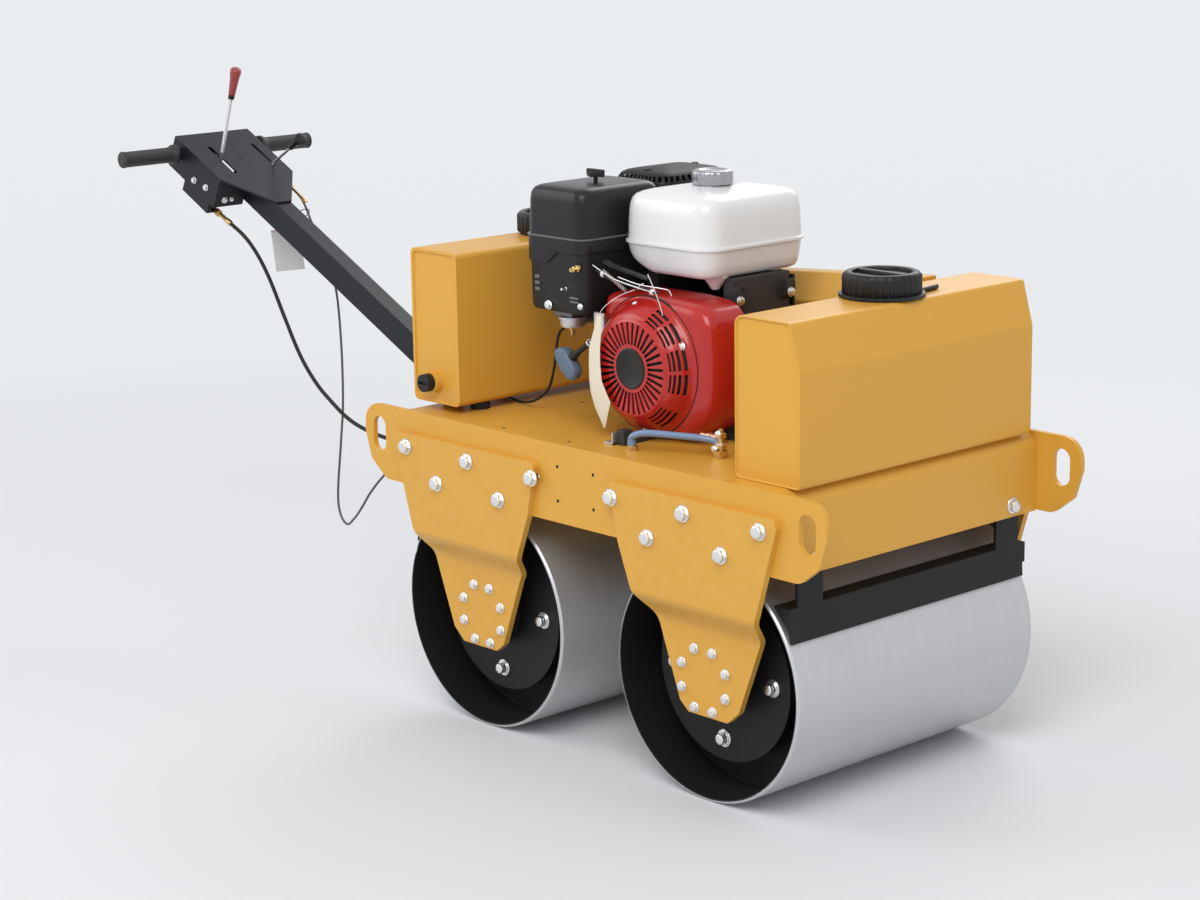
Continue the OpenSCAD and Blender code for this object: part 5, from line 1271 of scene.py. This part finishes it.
linkageLook = dict(
    straps=[([(-66, -206, 858), (-40, -204, 846), (10, -200, 838), (70, -194, 830)], 9, 3),
            ([(-58, -198, 872), (-30, -190, 862), (0, -176, 852), (20, -168, 846)], 14, 3),
            ([(158, -86, 836), (158, -86, 814), (140, -88, 796), (104, -92, 786)], 22, 4),
            ([(158, 40, 836), (158, 40, 814), (140, 38, 798), (104, 30, 790)], 22, 4)],
    shroud=((-60, 58, 770), (150, 62, 841)),
    bolts=[((160.5, -86, 813), "front", 8), ((160.5, 40, 813), "front", 8), ((-52, -207, 851), "right", 5),
           ((60, -197, 831), "right", 5)],
    rod=[(-70, -214, 866), (-20, -214, 848), (40, -212, 838), (66, -208, 834)],
    tails=[[(58, -205, 862), (72, -208, 846), (87, -209, 822), (97, -208, 796)],
           [(-15, -206, 850), (40, -208, 843), (92, -207, 842), (110, -206, 840), (116, -205, 831)],
           [(34, -206, 834), (40, -207, 841), (48, -206, 845)]])


def flatBar(name, points, wide, thick):
    corners = [(u * wide / 2 * mm, v * thick / 2 * mm) for u, v in ((-1, -1), (1, -1), (1, 1), (-1, 1))]
    path = smoothPath([at(*q) for q in points], 5)
    return loft(name, [[p + a * u + b * v for u, v in corners] for p, a, b in pathFrames(path, left)], 40)


def makeLinkage():
    d = linkageLook
    parts = [flatBar("strap", *q) for q in d["straps"]] + [boxPiece("shroud", *d["shroud"], 1)]
    mount(join("tankStraps", parts), "machine", "blackPaint")
    mount(join("strapBolts", [hexBolt(at(*q), facing, size) for q, facing, size in d["bolts"]]), "machine", "zinc")
    coil = [at(-46 + 0.625 * i, -212 + 3.2 * math.sin(i * 0.9), 858 - 0.32 * i + 3.2 * math.cos(i * 0.9))
            for i in range(90)]
    wires = [sweepTube("coil", coil, 0.6 * mm, 6, (0, 0, 1)),
             sweepTube("rod", smoothPath([at(*q) for q in d["rod"]], 6), 1.0 * mm, 8)]
    mount(join("governorWires", wires), "machine", "zinc")
    tails = [sweepTube("tail", smoothPath([at(*q) for q in route], 6), 0.9 * mm, 8) for route in d["tails"]]
    mount(join("wireTails", tails), "machine", "zinc")


makeLinkage()
print("linkage made")


# Floor, backdrop and lights

stageLook = dict(floor=(0.72, 0.73, 0.75), world=(0.93, 0.94, 0.96), fill=0.66, far=(0.79, 0.81, 0.835),
                 fade=(1.5, 3.6))
lamps = [
    dict(name="keyLamp", place=(2.6, -3.2, 4.2), size=3.0, power=142),
    dict(name="fillLamp", place=(-3.4, -3.0, 2.8), size=3.0, power=55),
    dict(name="backLamp", place=(-1.0, 3.6, 3.4), size=3.0, power=70),
]


def makeFloor():
    bpy.ops.mesh.primitive_plane_add(size=60, location=(0, 0, -0.0005))
    floor = bpy.context.object
    floor.name = "floor"
    tree, shader = newSurface("floorPale")
    feed(tree, shader, "Roughness", 0.7)
    feed(tree, shader, "Specular IOR Level", 0.05)
    feed(tree, shader, "Emission Strength", 1.0)
    away = addNode(tree, "VectorMath", [(0, objectPlace(tree))], operation="LENGTH").outputs["Value"]
    fade = ramp(tree, away, *stageLook["fade"])  # far from the machine the floor takes the backdrop's tone
    feed(tree, shader, "Base Color", mixColor(tree, fade, rgba(stageLook["floor"]), rgba(0)))
    feed(tree, shader, "Emission Color", mixColor(tree, fade, rgba(0), rgba(stageLook["far"])))
    finish(floor, "floorPale")


def makeWorld():
    world = bpy.data.worlds.new("studio")
    scene.world = world
    world.use_nodes = True
    tree = world.node_tree
    tree.nodes.clear()
    light = addNode(tree, "Background", [("Color", rgba(stageLook["world"])), ("Strength", stageLook["fill"])])
    seen = addNode(tree, "Background", [("Color", rgba(stageLook["far"])), ("Strength", 1.0)])
    path = addNode(tree, "LightPath")
    shown = path.outputs["Is Camera Ray"]  # metal and glass see the same backdrop as the camera
    for ray in ("Is Glossy Ray", "Is Transmission Ray"):
        shown = calc(tree, "MAXIMUM", shown, path.outputs[ray])
    mix = addNode(tree, "MixShader", [(0, shown), (1, light.outputs[0]), (2, seen.outputs[0])])
    addNode(tree, "OutputWorld", [("Surface", mix.outputs[0])])


def makeLamp(d):
    data = bpy.data.lights.new(d["name"], "AREA")
    data.energy = d["power"]
    data.size = d["size"]
    lamp = bpy.data.objects.new(d["name"], data)
    lamp.location = d["place"]
    aim = Vector((midX - 0.3, 0, 0.5)) - Vector(d["place"])
    lamp.rotation_euler = aim.to_track_quat("-Z", "Y").to_euler()
    scene.collection.objects.link(lamp)


makeFloor()
makeWorld()
for d in lamps:
    makeLamp(d)
print("studio lit")
